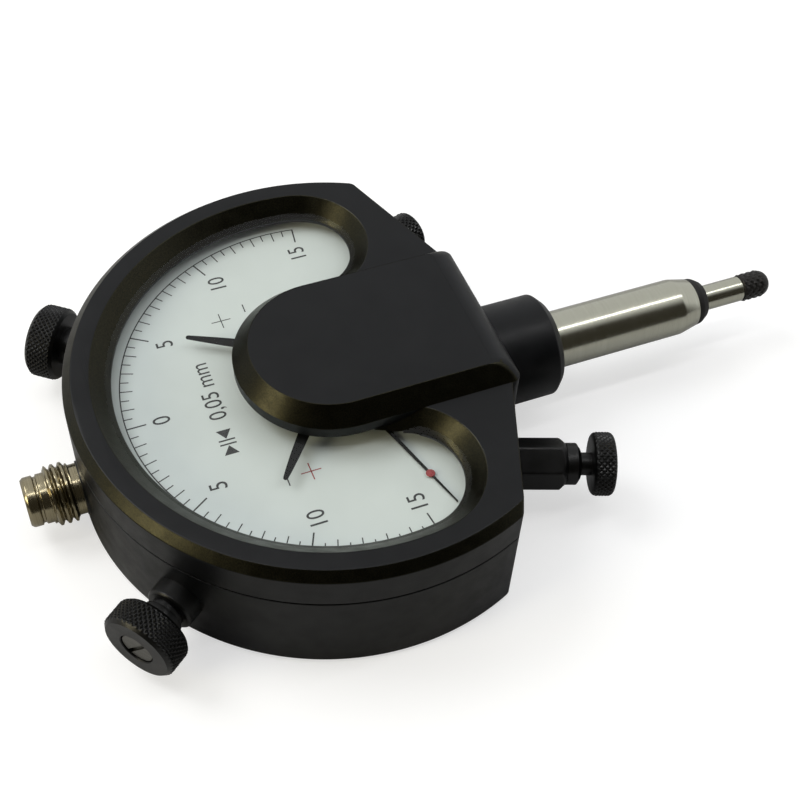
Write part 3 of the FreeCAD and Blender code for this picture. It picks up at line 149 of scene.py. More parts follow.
def aim_camera():
    az, el, roll = (math.radians(a) for a in (CAMERA_AZ, CAMERA_EL, CAMERA_ROLL))
    back = Vector((math.sin(az) * math.cos(el), -math.cos(az) * math.cos(el), math.sin(el)))
    right = Vector((math.cos(az), math.sin(az), 0))
    up = back.cross(right)
    turned_right = right * math.cos(roll) + up * math.sin(roll)
    turned_up = up * math.cos(roll) - right * math.sin(roll)
    data = bpy.data.cameras.new("camera")
    data.sensor_width = CAMERA_SENSOR
    data.lens = CAMERA_FOCAL_PX / PHOTO_PX * CAMERA_SENSOR
    data.clip_start = 0.005
    data.clip_end = 20.0
    camera = bpy.data.objects.new("camera", data)
    bpy.context.scene.collection.objects.link(camera)
    place = Matrix((turned_right, turned_up, back)).transposed().to_4x4()
    place.translation = (Vector(CAMERA_TARGET) + back * CAMERA_DISTANCE) * MM
    camera.matrix_world = place
    bpy.context.scene.camera = camera


aim_camera()


# Materials. The numbered sockets are the colour ones of a mix node.

FINE_GRAIN = 0.09
COLOUR_A = 6
COLOUR_B = 7
COLOUR_OUT = 2


def srgb(red, green, blue):
    """Colour as it is seen on a screen, 0 to 255, turned into the renderer's linear one."""
    return tuple((c / 255 / 12.92) if c <= 10 else ((c / 255 + 0.055) / 1.055) ** 2.4
                 for c in (red, green, blue)) + (1.0,)


def greatest(tree, values):
    """The greatest of several outputs of a node tree."""
    result = values[0]
    for value in values[1:]:
        node = tree.nodes.new("ShaderNodeMath")
        node.operation = "MAXIMUM"
        tree.links.new(result, node.inputs[0])
        tree.links.new(value, node.inputs[1])
        result = node.outputs[0]
    return result


class Finish:
    """A material with procedural grain, built step by step. Sizes are in millimetres."""

    def __init__(self, name, colour, rough, metallic=0.0, specular=0.5):
        self.material = bpy.data.materials.new(name)
        self.material.use_nodes = True
        self.tree = self.material.node_tree
        self.nodes = self.tree.nodes
        self.links = self.tree.links
        self.nodes.clear()
        self.out = self.nodes.new("ShaderNodeOutputMaterial")
        self.shader = self.nodes.new("ShaderNodeBsdfPrincipled")
        self.links.new(self.shader.outputs[0], self.out.inputs["Surface"])
        self.shader.inputs["Base Color"].default_value = colour
        self.shader.inputs["Roughness"].default_value = rough
        self.shader.inputs["Metallic"].default_value = metallic
        self.shader.inputs["Specular IOR Level"].default_value = specular
        self.place = self.nodes.new("ShaderNodeTexCoord").outputs["Object"]
        self.normal = None

    def noise(self, size, stretch=(1, 1, 1), detail=2.0):
        """Noise whose blotches are about size across, drawn out along an axis by stretch."""
        mapping = self.nodes.new("ShaderNodeMapping")
        mapping.inputs["Scale"].default_value = [1 / (size * MM * s) for s in stretch]
        self.links.new(self.place, mapping.inputs["Vector"])
        noise = self.nodes.new("ShaderNodeTexNoise")
        noise.inputs["Scale"].default_value = 1.0
        noise.inputs["Detail"].default_value = detail
        self.links.new(mapping.outputs[0], noise.inputs["Vector"])
        return noise.outputs["Fac"]

    def spread(self, value, low, high):
        """The middle part of a noise, spread from low to high."""
        scale = self.nodes.new("ShaderNodeMapRange")
        for name, number in (("From Min", 0.3), ("From Max", 0.7), ("To Min", low), ("To Max", high)):
            scale.inputs[name].default_value = number
        self.links.new(value, scale.inputs["Value"])
        return scale.outputs[0]

    def mottle(self, size, colours, stretch=(1, 1, 1)):
        """Colour that drifts between two tones."""
        mix = self.nodes.new("ShaderNodeMix")
        mix.data_type = "RGBA"
        self.links.new(self.spread(self.noise(size, stretch), 0, 1), mix.inputs["Factor"])
        mix.inputs[COLOUR_A].default_value = colours[0]
        mix.inputs[COLOUR_B].default_value = colours[1]
        self.links.new(mix.outputs[COLOUR_OUT], self.shader.inputs["Base Color"])
        return self

    def polish(self, size, low, high, stretch=(1, 1, 1)):
        """Roughness that varies between two values."""
        rough = self.spread(self.noise(size, stretch, 3.0), low, high)
        self.links.new(rough, self.shader.inputs["Roughness"])
        return self

    def round_edges(self, radius):
        bevel = self.nodes.new("ShaderNodeBevel")
        bevel.samples = 4
        bevel.inputs["Radius"].default_value = radius * MM
        self.normal = bevel.outputs[0]
        self.links.new(self.normal, self.shader.inputs["Normal"])
        return self

    def bump(self, size, height, stretch=(1, 1, 1), detail=2.0):
        node = self.nodes.new("ShaderNodeBump")
        node.inputs["Distance"].default_value = height * MM
        self.links.new(self.noise(size, stretch, detail), node.inputs["Height"])
        if self.normal:
            self.links.new(self.normal, node.inputs["Normal"])
        self.normal = node.outputs[0]
        self.links.new(self.normal, self.shader.inputs["Normal"])
        return self

    def brushed(self, amount, axis):
        """Highlights drawn out round an axis."""
        tangent = self.nodes.new("ShaderNodeTangent")
        tangent.direction_type = "RADIAL"
        tangent.axis = axis
        self.links.new(tangent.outputs[0], self.shader.inputs["Tangent"])
        self.shader.inputs["Anisotropic"].default_value = amount
        return self


def glass():
    """Clear glass that is seen by the camera only, so that it doesn't darken what lies under it."""
    finish = Finish("crystal_glass", (1, 1, 1, 1), 0.0)
    finish.shader.inputs["Transmission Weight"].default_value = 1.0
    finish.shader.inputs["IOR"].default_value = 1.25
    path = finish.nodes.new("ShaderNodeLightPath").outputs
    rays = [path[word] for word in ("Is Shadow Ray", "Is Diffuse Ray", "Is Glossy Ray")]
    indirect = greatest(finish.tree, rays)
    clear = finish.nodes.new("ShaderNodeBsdfTransparent")
    clear.inputs["Color"].default_value = (0.96, 0.97, 0.965, 1)
    mix = finish.nodes.new("ShaderNodeMixShader")
    finish.links.new(indirect, mix.inputs[0])
    finish.links.new(finish.shader.outputs[0], mix.inputs[1])
    finish.links.new(clear.outputs[0], mix.inputs[2])
    finish.links.new(mix.outputs[0], finish.out.inputs["Surface"])
    return finish.material


def anodised(name, colour, other, rough, specular, edge=0.0):
    """Blasted and blackened metal: a fine even grain and a faint drift of tone."""
    finish = Finish(name, colour, rough, 0.0, specular)
    if edge:
        finish.round_edges(edge)
    finish.mottle(6.0, (colour, other))
    finish.polish(2.5, rough - 0.05, rough + 0.06)
    finish.bump(FINE_GRAIN, 0.006, detail=3.0)
    return finish.material


def turned_metal(name, colour, other, rough, axis, edge=0.0, metallic=1.0, amount=0.5):
    """Metal with fine lines round an axis of the part."""
    along = {"X": (0.08, 6, 6), "Y": (6, 0.08, 6), "Z": (6, 6, 0.08)}[axis]
    finish = Finish(name, colour, rough, metallic)
    if edge:
        finish.round_edges(edge)
    finish.mottle(1.0, (colour, other), along)
    finish.polish(1.0, rough - 0.06, rough + 0.08, along)
    finish.bump(1.0, 0.0012, along, 4.0)
    finish.brushed(amount, axis)
    return finish.material


case_black = anodised("case_black", srgb(12, 13, 15), srgb(7, 8, 10), 0.38, 0.22)
# Olive metal tint for the chamfers: painted warm sheen, where the warm light catches them.
chamfer_sheen = Finish("chamfer_sheen", srgb(44, 43, 35), 0.33, 1.0) \
    .mottle(0.16, (srgb(52, 50, 38), srgb(36, 36, 31))) \
    .polish(1.5, 0.29, 0.39).bump(FINE_GRAIN, 0.007).material
trim_black = anodised("trim_black", srgb(11, 11, 10), srgb(7, 7, 7), 0.34, 0.3, 0.06)
cover_black = anodised("cover_black", srgb(12, 13, 15), srgb(7, 8, 10), 0.42, 0.22, 0.1)
screw_steel = turned_metal("knob_screw_steel", srgb(112, 110, 104), srgb(84, 82, 76), 0.34, "Z", 0.06)
plain_steel = turned_metal("plain_steel", srgb(170, 170, 168), srgb(140, 140, 139), 0.34, "Z", 0.04)
ground_steel = turned_metal("ground_steel", srgb(186, 186, 172), srgb(176, 175, 160), 0.17, "Y",
                            amount=0.2)
spring_steel = turned_metal("spring_steel", srgb(150, 152, 156), srgb(120, 122, 126), 0.32, "Y")
brass = turned_metal("movement_brass", srgb(205, 172, 112), srgb(180, 148, 90), 0.32, "Z", 0.04)
bronze = turned_metal("bronze", srgb(176, 138, 92), srgb(150, 114, 72), 0.35, "Z", 0.04)
nickel = turned_metal("nickel", srgb(160, 151, 126), srgb(138, 129, 104), 0.2, "Y", amount=0.2)
tip_black = turned_metal("tip_black", srgb(46, 44, 42), srgb(30, 29, 28), 0.36, "Y", metallic=0.7)
rubber = Finish("rubber", srgb(22, 21, 20), 0.62, 0.0, 0.3) \
    .mottle(1.5, (srgb(22, 21, 20), srgb(30, 29, 27))).bump(0.12, 0.01).material
insulator = Finish("insulator", srgb(36, 34, 31), 0.5) \
    .mottle(1.0, (srgb(36, 34, 31), srgb(28, 27, 25))) \
    .polish(0.8, 0.42, 0.58).bump(0.1, 0.006).material
dial_white = Finish("dial_white", srgb(208, 214, 212), 0.42, 0.0, 0.3) \
    .mottle(9.0, (srgb(210, 216, 214), srgb(204, 210, 208))) \
    .polish(4.0, 0.38, 0.48).bump(0.1, 0.0015).material
print_ink = Finish("print_ink", srgb(44, 44, 44), 0.5) \
    .mottle(0.4, (srgb(40, 40, 41), srgb(54, 54, 54))).bump(0.08, 0.002).material
red_ink = Finish("red_ink", srgb(150, 66, 62), 0.5) \
    .mottle(0.4, (srgb(156, 70, 66), srgb(140, 58, 56))).bump(0.08, 0.002).material
red_enamel = Finish("red_enamel", srgb(150, 52, 54), 0.3) \
    .mottle(0.5, (srgb(160, 58, 60), srgb(134, 40, 42))).bump(0.1, 0.004).material
hand_black = Finish("hand_black", srgb(20, 20, 20), 0.5, 0.0, 0.2).round_edges(0.04) \
    .mottle(1.0, (srgb(20, 20, 20), srgb(14, 14, 14))).bump(0.08, 0.004).material
crystal_glass = glass()

BY_SLOT = {
    "black_case": cover_black,
    "black_trim": trim_black,
    "knob_screw": screw_steel,
    "hidden_steel": plain_steel,
    "gasket": rubber,
    "glass": crystal_glass,
    "dial_white": dial_white,
    "movement_brass": brass,
    "bronze": bronze,
    "ground_steel": ground_steel,
    "dark_tip": tip_black,
    "spring_steel": spring_steel,
    "pointer_black": hand_black,
    "red_mark": red_enamel,
    "nickel": nickel,
    "insulator": insulator,
}

for row in frame["record"]["subparts"]:
    data = nodes[row["node"]].data
    data.materials.clear()
    data.materials.append(BY_SLOT[row["material_slot"]])


# Mesh tools. A slope is a face whose normal's upward part lies between the two shares, and takes the painted
# chamfer sheen.

WELD = 0.0008
SLIVER = 0.0005
SLOPE_Z = (0.25, 0.93)


class Shape:
    """A mesh under construction, in millimetres."""

    def __init__(self):
        self.points = []
        self.faces = []

    def loop(self, points):
        first = len(self.points)
        self.points.extend(points)
        return list(range(first, len(self.points)))

    def band(self, low, high):
        count = len(low)
        for i in range(count):
            j = (i + 1) % count
            self.faces.append((low[i], low[j], high[j], high[i]))

    def skin(self, loops):
        for low, high in zip(loops, loops[1:]):
            self.band(low, high)

    def cap(self, loop):
        self.faces.append(tuple(loop))

    def close(self, loops):
        """Skins the loops and caps both ends."""
        self.skin(loops)
        self.cap(loops[0])
        self.cap(loops[-1])

    def fill(self, loops):
        """Flat area inside the first loop and outside the others."""
        order = [i for loop in loops for i in loop]
        for face in tessellate_polygon([[Vector(self.points[i]) for i in loop] for loop in loops]):
            self.faces.append(tuple(order[i] for i in face))

    def fan(self, loop, tip):
        centre = self.loop([tip])[0]
        count = len(loop)
        for i in range(count):
            self.faces.append((loop[i], loop[(i + 1) % count], centre))

    def box(self, corners, low, high):
        """Prism on a flat outline."""
        bottom = self.loop([(x, y, low) for x, y in corners])
        top = self.loop([(x, y, high) for x, y in corners])
        self.band(bottom, top)
        self.cap(top)
        self.cap(bottom)

    def make(self, name, body, slot, materials, angle=32.0, replaced=(), lowest_y=-1.0):
        """Turns the shape into a piece. Slopes take the second material, which paints the warm sheen of lit
        chamfers, unless they face further to -Y than lowest_y, away from the warm light."""
        mesh = bpy.data.meshes.new(name)
        mesh.from_pydata([tuple(c * MM for c in p) for p in self.points], [], self.faces)
        work = bmesh.new()
        work.from_mesh(mesh)
        bmesh.ops.remove_doubles(work, verts=work.verts, dist=WELD * MM)
        bmesh.ops.dissolve_degenerate(work, edges=work.edges, dist=SLIVER * MM)
        bmesh.ops.recalc_face_normals(work, faces=work.faces)
        for face in work.faces:
            face.smooth = True
            # Slopes get the painted chamfer sheen, except those turned to -Y, away from the warm light.
            slopes = SLOPE_Z[0] < abs(face.normal.z) < SLOPE_Z[1]
            if len(materials) > 1 and slopes and face.normal.y > lowest_y:
                face.material_index = 1
        work.to_mesh(mesh)
        work.free()
        mesh.set_sharp_from_angle(angle=math.radians(angle))
        for one in materials:
            mesh.materials.append(one)
        piece = bpy.data.objects.new(name, mesh)
        bpy.context.scene.collection.objects.link(piece)
        weighted = piece.modifiers.new("even_normals", "WEIGHTED_NORMAL")
        weighted.keep_sharp = True
        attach(piece, body)
        if replaced:
            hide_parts(*replaced)


def soften(profile, size):
    """Replaces each inner corner of a profile by a small round one."""
    result = [profile[0]]
    for before, here, after in zip(profile, profile[1:], profile[2:]):
        a = Vector(before)
        b = Vector(here)
        c = Vector(after)
        cut = min(size, (a - b).length * 0.45, (c - b).length * 0.45)
        start = b + (a - b).normalized() * cut
        end = b + (c - b).normalized() * cut
        for t in (0.0, 0.33, 0.67, 1.0):
            p = start * (1 - t) ** 2 + b * (2 * t * (1 - t)) + end * t ** 2
            result.append(tuple(p))
    result.append(profile[-1])
    return result


class Axis:
    """A line with a direction, and points round it."""

    def __init__(self, base, direction):
        self.base = Vector(base)
        self.along = Vector(direction).normalized()
        self.side = Vector((0, 0, 1)).cross(self.along).normalized()
        self.up = self.along.cross(self.side)

    def point(self, along, radius, angle):
        return tuple(self.base + self.along * along
                     + (self.side * math.cos(angle) + self.up * math.sin(angle)) * radius)

    def ring(self, along, radius, steps):
        radii = radius if callable(radius) else lambda angle: radius
        angles = [math.tau * i / steps for i in range(steps)]
        return [self.point(along, radii(a), a) for a in angles]


def lathe(shape, axis, profile, steps=96):
    """Closed turned solid from (along, radius) points, of which the first and the last lie on the axis."""
    loops = [shape.loop(axis.ring(a, r, steps)) for a, r in profile if r > 0]
    shape.skin(loops)
    shape.fan(loops[0], axis.point(profile[0][0], 0, 0))
    shape.fan(loops[-1], axis.point(profile[-1][0], 0, 0))
    return shape


def rod(shape, axis, start, end, radius, edge):
    """Plain turned rod with softened edges."""
    return lathe(shape, axis, soften([(start, 0), (start, radius), (end, radius), (end, 0)], edge))


# Knurls, with a number of points for each groove round them

CUTS = 8
RIM_DIMPLE = 0.1


def wave(value):
    """Triangle wave from 0 in the groove to 1 on the crest."""
    part = value - math.floor(value)
    return 1 - abs(2 * part - 1)


def diamonds(axis, along, phase, limit, radius, count, depth, fullness=1.0):
    """Ring across a diamond knurl that stays inside limit. More fullness gives flatter crests."""
    def radius_at(angle):
        turn = angle * count / math.tau
        height = min(wave(turn + phase), wave(turn - phase))
        return min(limit, radius - depth * (1 - min(1.0, fullness * height)))

    return axis.ring(along, radius_at, count * CUTS)


def knurled(shape, axis, start, end, radius, rim, count, depth, hub_r, front_r, front_along, rounded=False):
    """Diamond-knurled drum with bevelled or rounded rims. Its front runs in to front_r at front_along."""
    pitch = math.tau * radius / count
    rows = max(CUTS, round((end - start) / pitch * CUTS))
    steps = count * CUTS
    back_r = radius - rim
    loops = [shape.loop(axis.ring(start, r, steps)) for r in (hub_r, back_r)]
    for i in range(1, rows):
        along = start + (end - start) * i / rows
        gap = min(along - start, end - along, rim)
        limit = back_r + (math.sqrt(rim * rim - (rim - gap) ** 2) if rounded else gap)
        phase = (along - start) / pitch
        loops.append(shape.loop(diamonds(axis, along, phase, limit, radius, count, depth, fullness=1.25)))
    front = [(end, back_r), (end, front_r + RIM_DIMPLE), (end - RIM_DIMPLE, front_r), (front_along, front_r)]
    loops += [shape.loop(axis.ring(along, r, steps)) for along, r in front]
    shape.close(loops)


# Outlines

def compass(angle, radius, z=0.0):
    """Point at an angle in degrees, which runs from +Y towards +X."""
    a = math.radians(angle)
    return (radius * math.sin(a), radius * math.cos(a), z)


def arc(x, y, radius, first, last, steps):
    """Points round a centre from one angle to another, both ends included."""
    angles = [first + (last - first) * i / steps for i in range(steps + 1)]
    return [(x + radius * math.cos(a), y + radius * math.sin(a)) for a in angles]


def mirrored(half, z):
    """Closed outline from its half on the +X side, which starts and ends on the mirror line."""
    return [(x, y, z) for x, y in half + [(-x, y) for x, y in reversed(half[1:-1])]]


def circle_loop(z, x, y, radius, steps=32):
    return [(px, py, z) for px, py in arc(x, y, radius, 0, math.tau, steps)[:-1]]


def reach_along(offset, direction, radius):
    """How far from offset, along direction, the circle round the origin is met."""
    dot = offset.dot(direction)
    return -dot + math.sqrt(dot * dot - offset.length_squared + radius * radius)


def shoulder_y(x, inset=0.0):
    return SHOULDER_Y + (abs(x) - SHOULDER_X) * math.tan(SHOULDER) + inset / math.cos(SHOULDER)


def outline_loop(z, round_in=0.0, flat_in=0.0):
    """The body's outline. Its round wall and its flats can be drawn in by different amounts."""
    radius = CASE_R - round_in
    end_y = END_Y + flat_in
    block_x = BLOCK_X - flat_in
    half = [(0.0, end_y)]
    half += arc(block_x - BLOCK_FILLET, end_y + BLOCK_FILLET, BLOCK_FILLET, -math.pi / 2, 0, 6)
    half.append((block_x, shoulder_y(block_x, flat_in)))
    along = Vector((math.cos(SHOULDER), math.sin(SHOULDER)))
    inward = Vector((-along.y, along.x))
    start = Vector((SHOULDER_X, shoulder_y(SHOULDER_X, flat_in))) + inward * CORNER_FILLET
    centre = start + along * reach_along(start - Vector((0, CASE_Y)), along, radius - CORNER_FILLET)
    last = math.atan2(centre.y - CASE_Y, centre.x)
    half += arc(centre.x, centre.y, CORNER_FILLET, SHOULDER - math.pi / 2, last, 10)
    half += arc(0, CASE_Y, radius, last, math.pi / 2, DISC_STEPS)[1:]
    return mirrored(half, z)


def opening_loop(z, big_r, hub_r=None, over=False):
    """The dial opening: a disc and two lobes. Under the bridge they join straight, or round the hub's
    lower side, or over it. A lobe ends where it meets the hub's circle, if it does."""
    tilt = math.atan2(CASE_Y - LOBE_Y, LOBE_X)
    lobe_r = big_r - math.hypot(LOBE_X, CASE_Y - LOBE_Y)
    hub = Vector((0, NOSE_Y / 2))
    away = (Vector((LOBE_X, LOBE_Y)) - hub).length
    meets = hub_r is not None and not over and away - lobe_r < hub_r
    sweep = math.pi
    if meets:
        cut = math.acos((away * away + lobe_r * lobe_r - hub_r * hub_r) / (2 * away * lobe_r))
        sweep = math.tau - tilt - math.atan2(hub.y - LOBE_Y, -LOBE_X) - cut
    half = arc(0, CASE_Y, big_r, math.pi / 2, -tilt, DISC_STEPS)
    half += arc(LOBE_X, LOBE_Y, lobe_r, -tilt, -tilt - sweep, LOBE_STEPS)[1:]
    inner = Vector(half[-1])
    centre = Vector((0, CASE_Y))
    if hub_r is None:
        half += [tuple(inner.lerp(centre, i / JOIN_STEPS)) for i in range(1, JOIN_STEPS + 1)]
    elif meets:
        first = math.atan2(inner.y - hub.y, inner.x - hub.x)
        half += arc(hub.x, hub.y, hub_r, first, -math.pi / 2, JOIN_STEPS)[1:]
    else:
        towards = (inner - centre).normalized()
        touch = centre + towards * reach_along(centre - hub, towards, hub_r)
        first = math.atan2(touch.y - hub.y, touch.x - hub.x)
        half += arc(hub.x, hub.y, hub_r, first, (1 if over else -1) * math.pi / 2, JOIN_STEPS - 1)
    return mirrored(half, z)


def tongue_loop(z, half, end_y, corner=0.05):
    """Straight-sided tongue with a round nose and rounded corners at its other end."""
    side = arc(half - corner, end_y + corner, corner, -math.pi / 2, 0, 9)
    side += [(half, end_y + (NOSE_Y - end_y) * i / 4) for i in range(1, 4)]
    side += arc(0, NOSE_Y, half, 0, math.pi / 2, 30)[:-1]
    points = side + [(0.0, NOSE_Y + half)] + [(-x, y) for x, y in reversed(side)]
    return [(x, y, z) for x, y in points]


# Case

SCREW_COMPASS = 65
SCREW_INSET = 2.3
SHOULDER_SCREWS = (-22.35, 17.7)
SCREW_HOLE_R = 1.4
SCREW_HOLE_DEPTH = 1.4


def screw_places():
    x, y, _ = compass(SCREW_COMPASS, CASE_R - SCREW_INSET)
    places = [(side * x, y + CASE_Y) for side in (-1, 1)]
    return places + [(x, shoulder_y(x, SCREW_INSET)) for x in SHOULDER_SCREWS]


def case_shell():
    """Rows are a height, how far the round wall is drawn in, and how far the flats are."""
    shape = Shape()
    rows = [(0.0, BACK_BEVEL + 0.05, EDGE), (0.05, BACK_BEVEL - 0.05, 0.04),
            (EDGE, BACK_BEVEL - EDGE, 0.0), (BACK_BEVEL - 0.08, 0.08, 0.0), (BACK_BEVEL + 0.1, 0.0, 0.0),
            (CASE_TOP - EDGE, 0.0, 0.0), (CASE_TOP - 0.04, 0.04, 0.04), (CASE_TOP, EDGE, EDGE),
            (CASE_TOP, RIM_IN, RIM_IN), (SEAT_Z, RIM_IN, RIM_IN), (SEAT_Z, HOLLOW_IN, HOLLOW_IN),
            (0.0, HOLLOW_IN, HOLLOW_IN)]
    loops = [shape.loop(outline_loop(*row)) for row in rows]
    shape.skin(loops)
    holes = []
    for x, y in screw_places():
        hole = [(0.0, SCREW_HOLE_R + 0.05), (0.06, SCREW_HOLE_R), (SCREW_HOLE_DEPTH, SCREW_HOLE_R)]
        rings = [shape.loop(circle_loop(z, x, y, r)) for z, r in hole]
        shape.skin(rings)
        shape.cap(rings[-1])
        holes.append(rings[0])
    shape.fill([loops[0], loops[-1]] + holes)
    shape.make("case_shell", "case", "black_case", [case_black], replaced=["case_body"])


def bezel():
    """The ring's outer wall, and the walls of its opening above and below the crystal's top."""
    shape = Shape()
    top = FACE_Z
    bevel_z = FACE_Z - FACE_BEVEL
    rows = [(RING_BOTTOM, EDGE, EDGE), (RING_BOTTOM + 0.04, 0.04, 0.04), (RING_BOTTOM + EDGE, 0.0, 0.0),
            (bevel_z - 0.1, 0.0, 0.0), (bevel_z, 0.02, 0.0), (bevel_z + 0.1, 0.1, 0.0),
            (top - 0.1, FACE_BEVEL - 0.1, 0.0), (top - 0.035, FACE_BEVEL - 0.02, 0.03),
            (top, FACE_BEVEL + 0.1, 0.1)]
    outer = [shape.loop(outline_loop(*row)) for row in rows]
    shape.skin(outer)
    slope = (OPENING_R - NARROW_R) / (FACE_Z - LIP_Z)
    wall = [(top, OPENING_R + 0.1), (top - 0.035, OPENING_R + 0.01),
            (top - EDGE, OPENING_R - EDGE * slope), (CRYSTAL_TOP, OPENING_R - (FACE_Z - CRYSTAL_TOP) * slope)]
    high = [shape.loop(opening_loop(z, r)) for z, r in wall]
    shape.skin(high)
    cone_r = NARROW_R + (CRYSTAL_Z - LIP_Z) * slope
    low_rows = [(*wall[-1], CUSP_R), (*wall[-1], JOIN_TOP_R), (CRYSTAL_Z, cone_r, JOIN_LOW_R - 0.15),
                (LIP_Z, NARROW_R + 0.02, JOIN_LOW_R - 0.02), (LIP_Z - 0.1, NARROW_R, JOIN_LOW_R),
                (UNDERCUT_Z, NARROW_R, JOIN_LOW_R), (UNDERCUT_Z, UNDERCUT_R, CAVITY_R),
                (RING_BOTTOM, UNDERCUT_R, CAVITY_R)]
    low = [shape.loop(opening_loop(*row)) for row in low_rows]
    shape.band(high[-1], low[0])
    shape.skin(low)
    shape.fill([outer[-1], high[0]])
    shape.fill([outer[0], low[-1]])
    # Its chamfers take the painted warm sheen.
    shape.make("bezel", "case", "black_case", [case_black, chamfer_sheen], replaced=["front_ring"])


def nose_rim():
    shape = Shape()
    half = BLOCK_X - 0.1
    rows = [(CRYSTAL_TOP, half - 0.05), (CRYSTAL_TOP + 0.05, half), (FACE_Z + 0.02, half)]
    shape.close([shape.loop(tongue_loop(z, h, NOSE_RIM_END_Y)) for z, h in rows])
    shape.make("nose_rim", "case", "black_case", [case_black])


def bridge():
    """Its sides slope evenly, and its end over the stem is a large round."""
    shape = Shape()
    drop = BRIDGE_Z - FACE_Z
    fall = (BLOCK_X - BRIDGE_TOP_X) / drop
    run = math.sqrt(BRIDGE_END_R ** 2 - (BRIDGE_END_R - drop) ** 2)
    first = math.asin((BRIDGE_END_R - drop) / BRIDGE_END_R)
    steps = 16
    rows = []
    for i in range(steps + 1):
        part = i / steps
        a = first + (math.pi / 2 - first) * part
        z = BRIDGE_Z - BRIDGE_END_R * (1 - math.sin(a))
        half = BLOCK_X - (z - FACE_Z) * fall
        rows.append((z, half, END_Y + run - BRIDGE_END_R * math.cos(a), BLOCK_FILLET * (1 - 0.3 * part)))
    z, half, end_y, corner = rows.pop()
    rows.append((z - 0.03, half + 0.01, end_y - 0.3, corner))
    rows.append((z, half - 0.06, end_y, corner))
    shape.close([shape.loop(tongue_loop(*row)) for row in rows])
    # Its slopes that face -Y stay plain black, without the painted sheen, as they face away from the warm
    # light.
    shape.make("bridge", "case", "black_case", [case_black, chamfer_sheen], replaced=["bridge_cover"],
               lowest_y=-0.35)


def crystal_disc():
    shape = Shape()
    rows = [(CRYSTAL_TOP - 0.01, GLASS_TOP_R), (CRYSTAL_Z, GLASS_LOW_R)]
    loops = [shape.loop(opening_loop(z, r, GLASS_HUB_R, over=True)) for z, r in rows]
    shape.skin(loops)
    shape.fill([loops[0]])
    shape.fill([loops[-1]])
    shape.make("crystal_disc", "case", "glass", [crystal_glass], replaced=["crystal"])


# Stem and spindle, with places along their axis from the middle of the case

STEM = Axis((0, 0, STEM_Z), (0, -1, 0))
STEM_TAPER = 2.7
COLLAR_CHAMFER = 1.1
SPINDLE_R = 1.8
SPINDLE_REAR_R = 1.4
FLANGE = (44.4, 45.9)
TIP_COUNT = 13
TIP_DEPTH = 0.16
TIP_ROWS = 28
TIP_DOME = 1.55
TIP_DOME_R = 1.84


def stem_parts():
    tube_r = STEM_R - 0.05
    inside = COLLAR_END - 0.3
    profile = [(-END_Y - SUNK, 0), (-END_Y - SUNK, COLLAR_R), (COLLAR_END - COLLAR_CHAMFER, COLLAR_R),
               (COLLAR_END, COLLAR_R - COLLAR_CHAMFER), (COLLAR_END, tube_r), (inside, tube_r), (inside, 0)]
    shape = lathe(Shape(), STEM, soften(profile, 0.14), 128)
    shape.make("collar", "case", "black_case", [case_black], replaced=["stem_collar"])
    start = -END_Y + SUNK
    root = COLLAR_END - SUNK
    profile = [(start, 0), (start, STEM_R - 0.3), (root, STEM_R - 0.25), (root, STEM_R),
               (STEM_END - STEM_TAPER, STEM_R), (STEM_END, SEAL_R), (STEM_END, 0)]
    shape = lathe(Shape(), STEM, soften(profile, 0.2), 128)
    shape.make("stem_tube", "case", "ground_steel", [ground_steel], replaced=["stem"])
    profile = [(STEM_END - SUNK, 0), (STEM_END - SUNK, SEAL_R), (STEM_END + 0.7, SEAL_R - 0.1),
               (SEAL_END, SEAL_R - 0.8), (SEAL_END, SPINDLE_R + 0.1), (SEAL_END - 0.2, 0)]
    shape = lathe(Shape(), STEM, soften(profile, 0.2))
    shape.make("seal", "case", "gasket", [rubber], replaced=["seal_ring"])
    end = SPINDLE_END - SUNK
    profile = [(SPINDLE_START, 0), (SPINDLE_START, SPINDLE_REAR_R - 0.2),
               (SPINDLE_START + 0.2, SPINDLE_REAR_R), (FLANGE[0], SPINDLE_REAR_R),
               (FLANGE[0], FLANGE_R), (FLANGE[1], FLANGE_R),
               (FLANGE[1], SPINDLE_R), (end, SPINDLE_R), (end, 0)]
    shape = lathe(Shape(), STEM, soften(profile, 0.08), 64)
    shape.make("spindle_rod", "spindle_group", "ground_steel", [ground_steel], replaced=["spindle"])


def tip():
    """Knurled barrel that ends in a dome."""
    shape = Shape()
    dome_at = TIP_END - TIP_DOME
    start = SPINDLE_END
    end = dome_at + 0.15
    pitch = math.tau * TIP_R / TIP_COUNT
    steps = TIP_COUNT * CUTS
    loops = [shape.loop(STEM.ring(start, r, steps)) for r in (1.0, 1.7)]
    for i in range(1, TIP_ROWS):
        along = start + (end - start) * i / TIP_ROWS
        limit = min(TIP_R, TIP_R - 0.25 + (along - start), TIP_R - 0.14 + (end - along))
        phase = (along - start) / pitch
        loops.append(shape.loop(diamonds(STEM, along, phase, limit, TIP_R, TIP_COUNT, TIP_DEPTH)))
    for degrees in range(8, 79, 10):
        a = math.radians(degrees)
        loops.append(shape.loop(STEM.ring(dome_at + TIP_DOME * math.sin(a), TIP_DOME_R * math.cos(a), steps)))
    shape.skin(loops)
    shape.cap(loops[0])
    shape.fan(loops[-1], STEM.point(TIP_END, 0, 0))
    shape.make("tip_ball", "spindle_group", "dark_tip", [tip_black], angle=24, replaced=["contact_tip"])


# Limit knobs, with places along their axes from the middle of the dial

LIMIT_COMPASS = 37.5
LIMIT_BUSH_R = 3.15
LIMIT_NECK_R = 2.6
LIMIT_KNOB_R = 5.03


def limit_axis(side):
    angle = side * LIMIT_COMPASS
    return Axis(compass(angle, 0, KNOB_Z), compass(angle, 1))


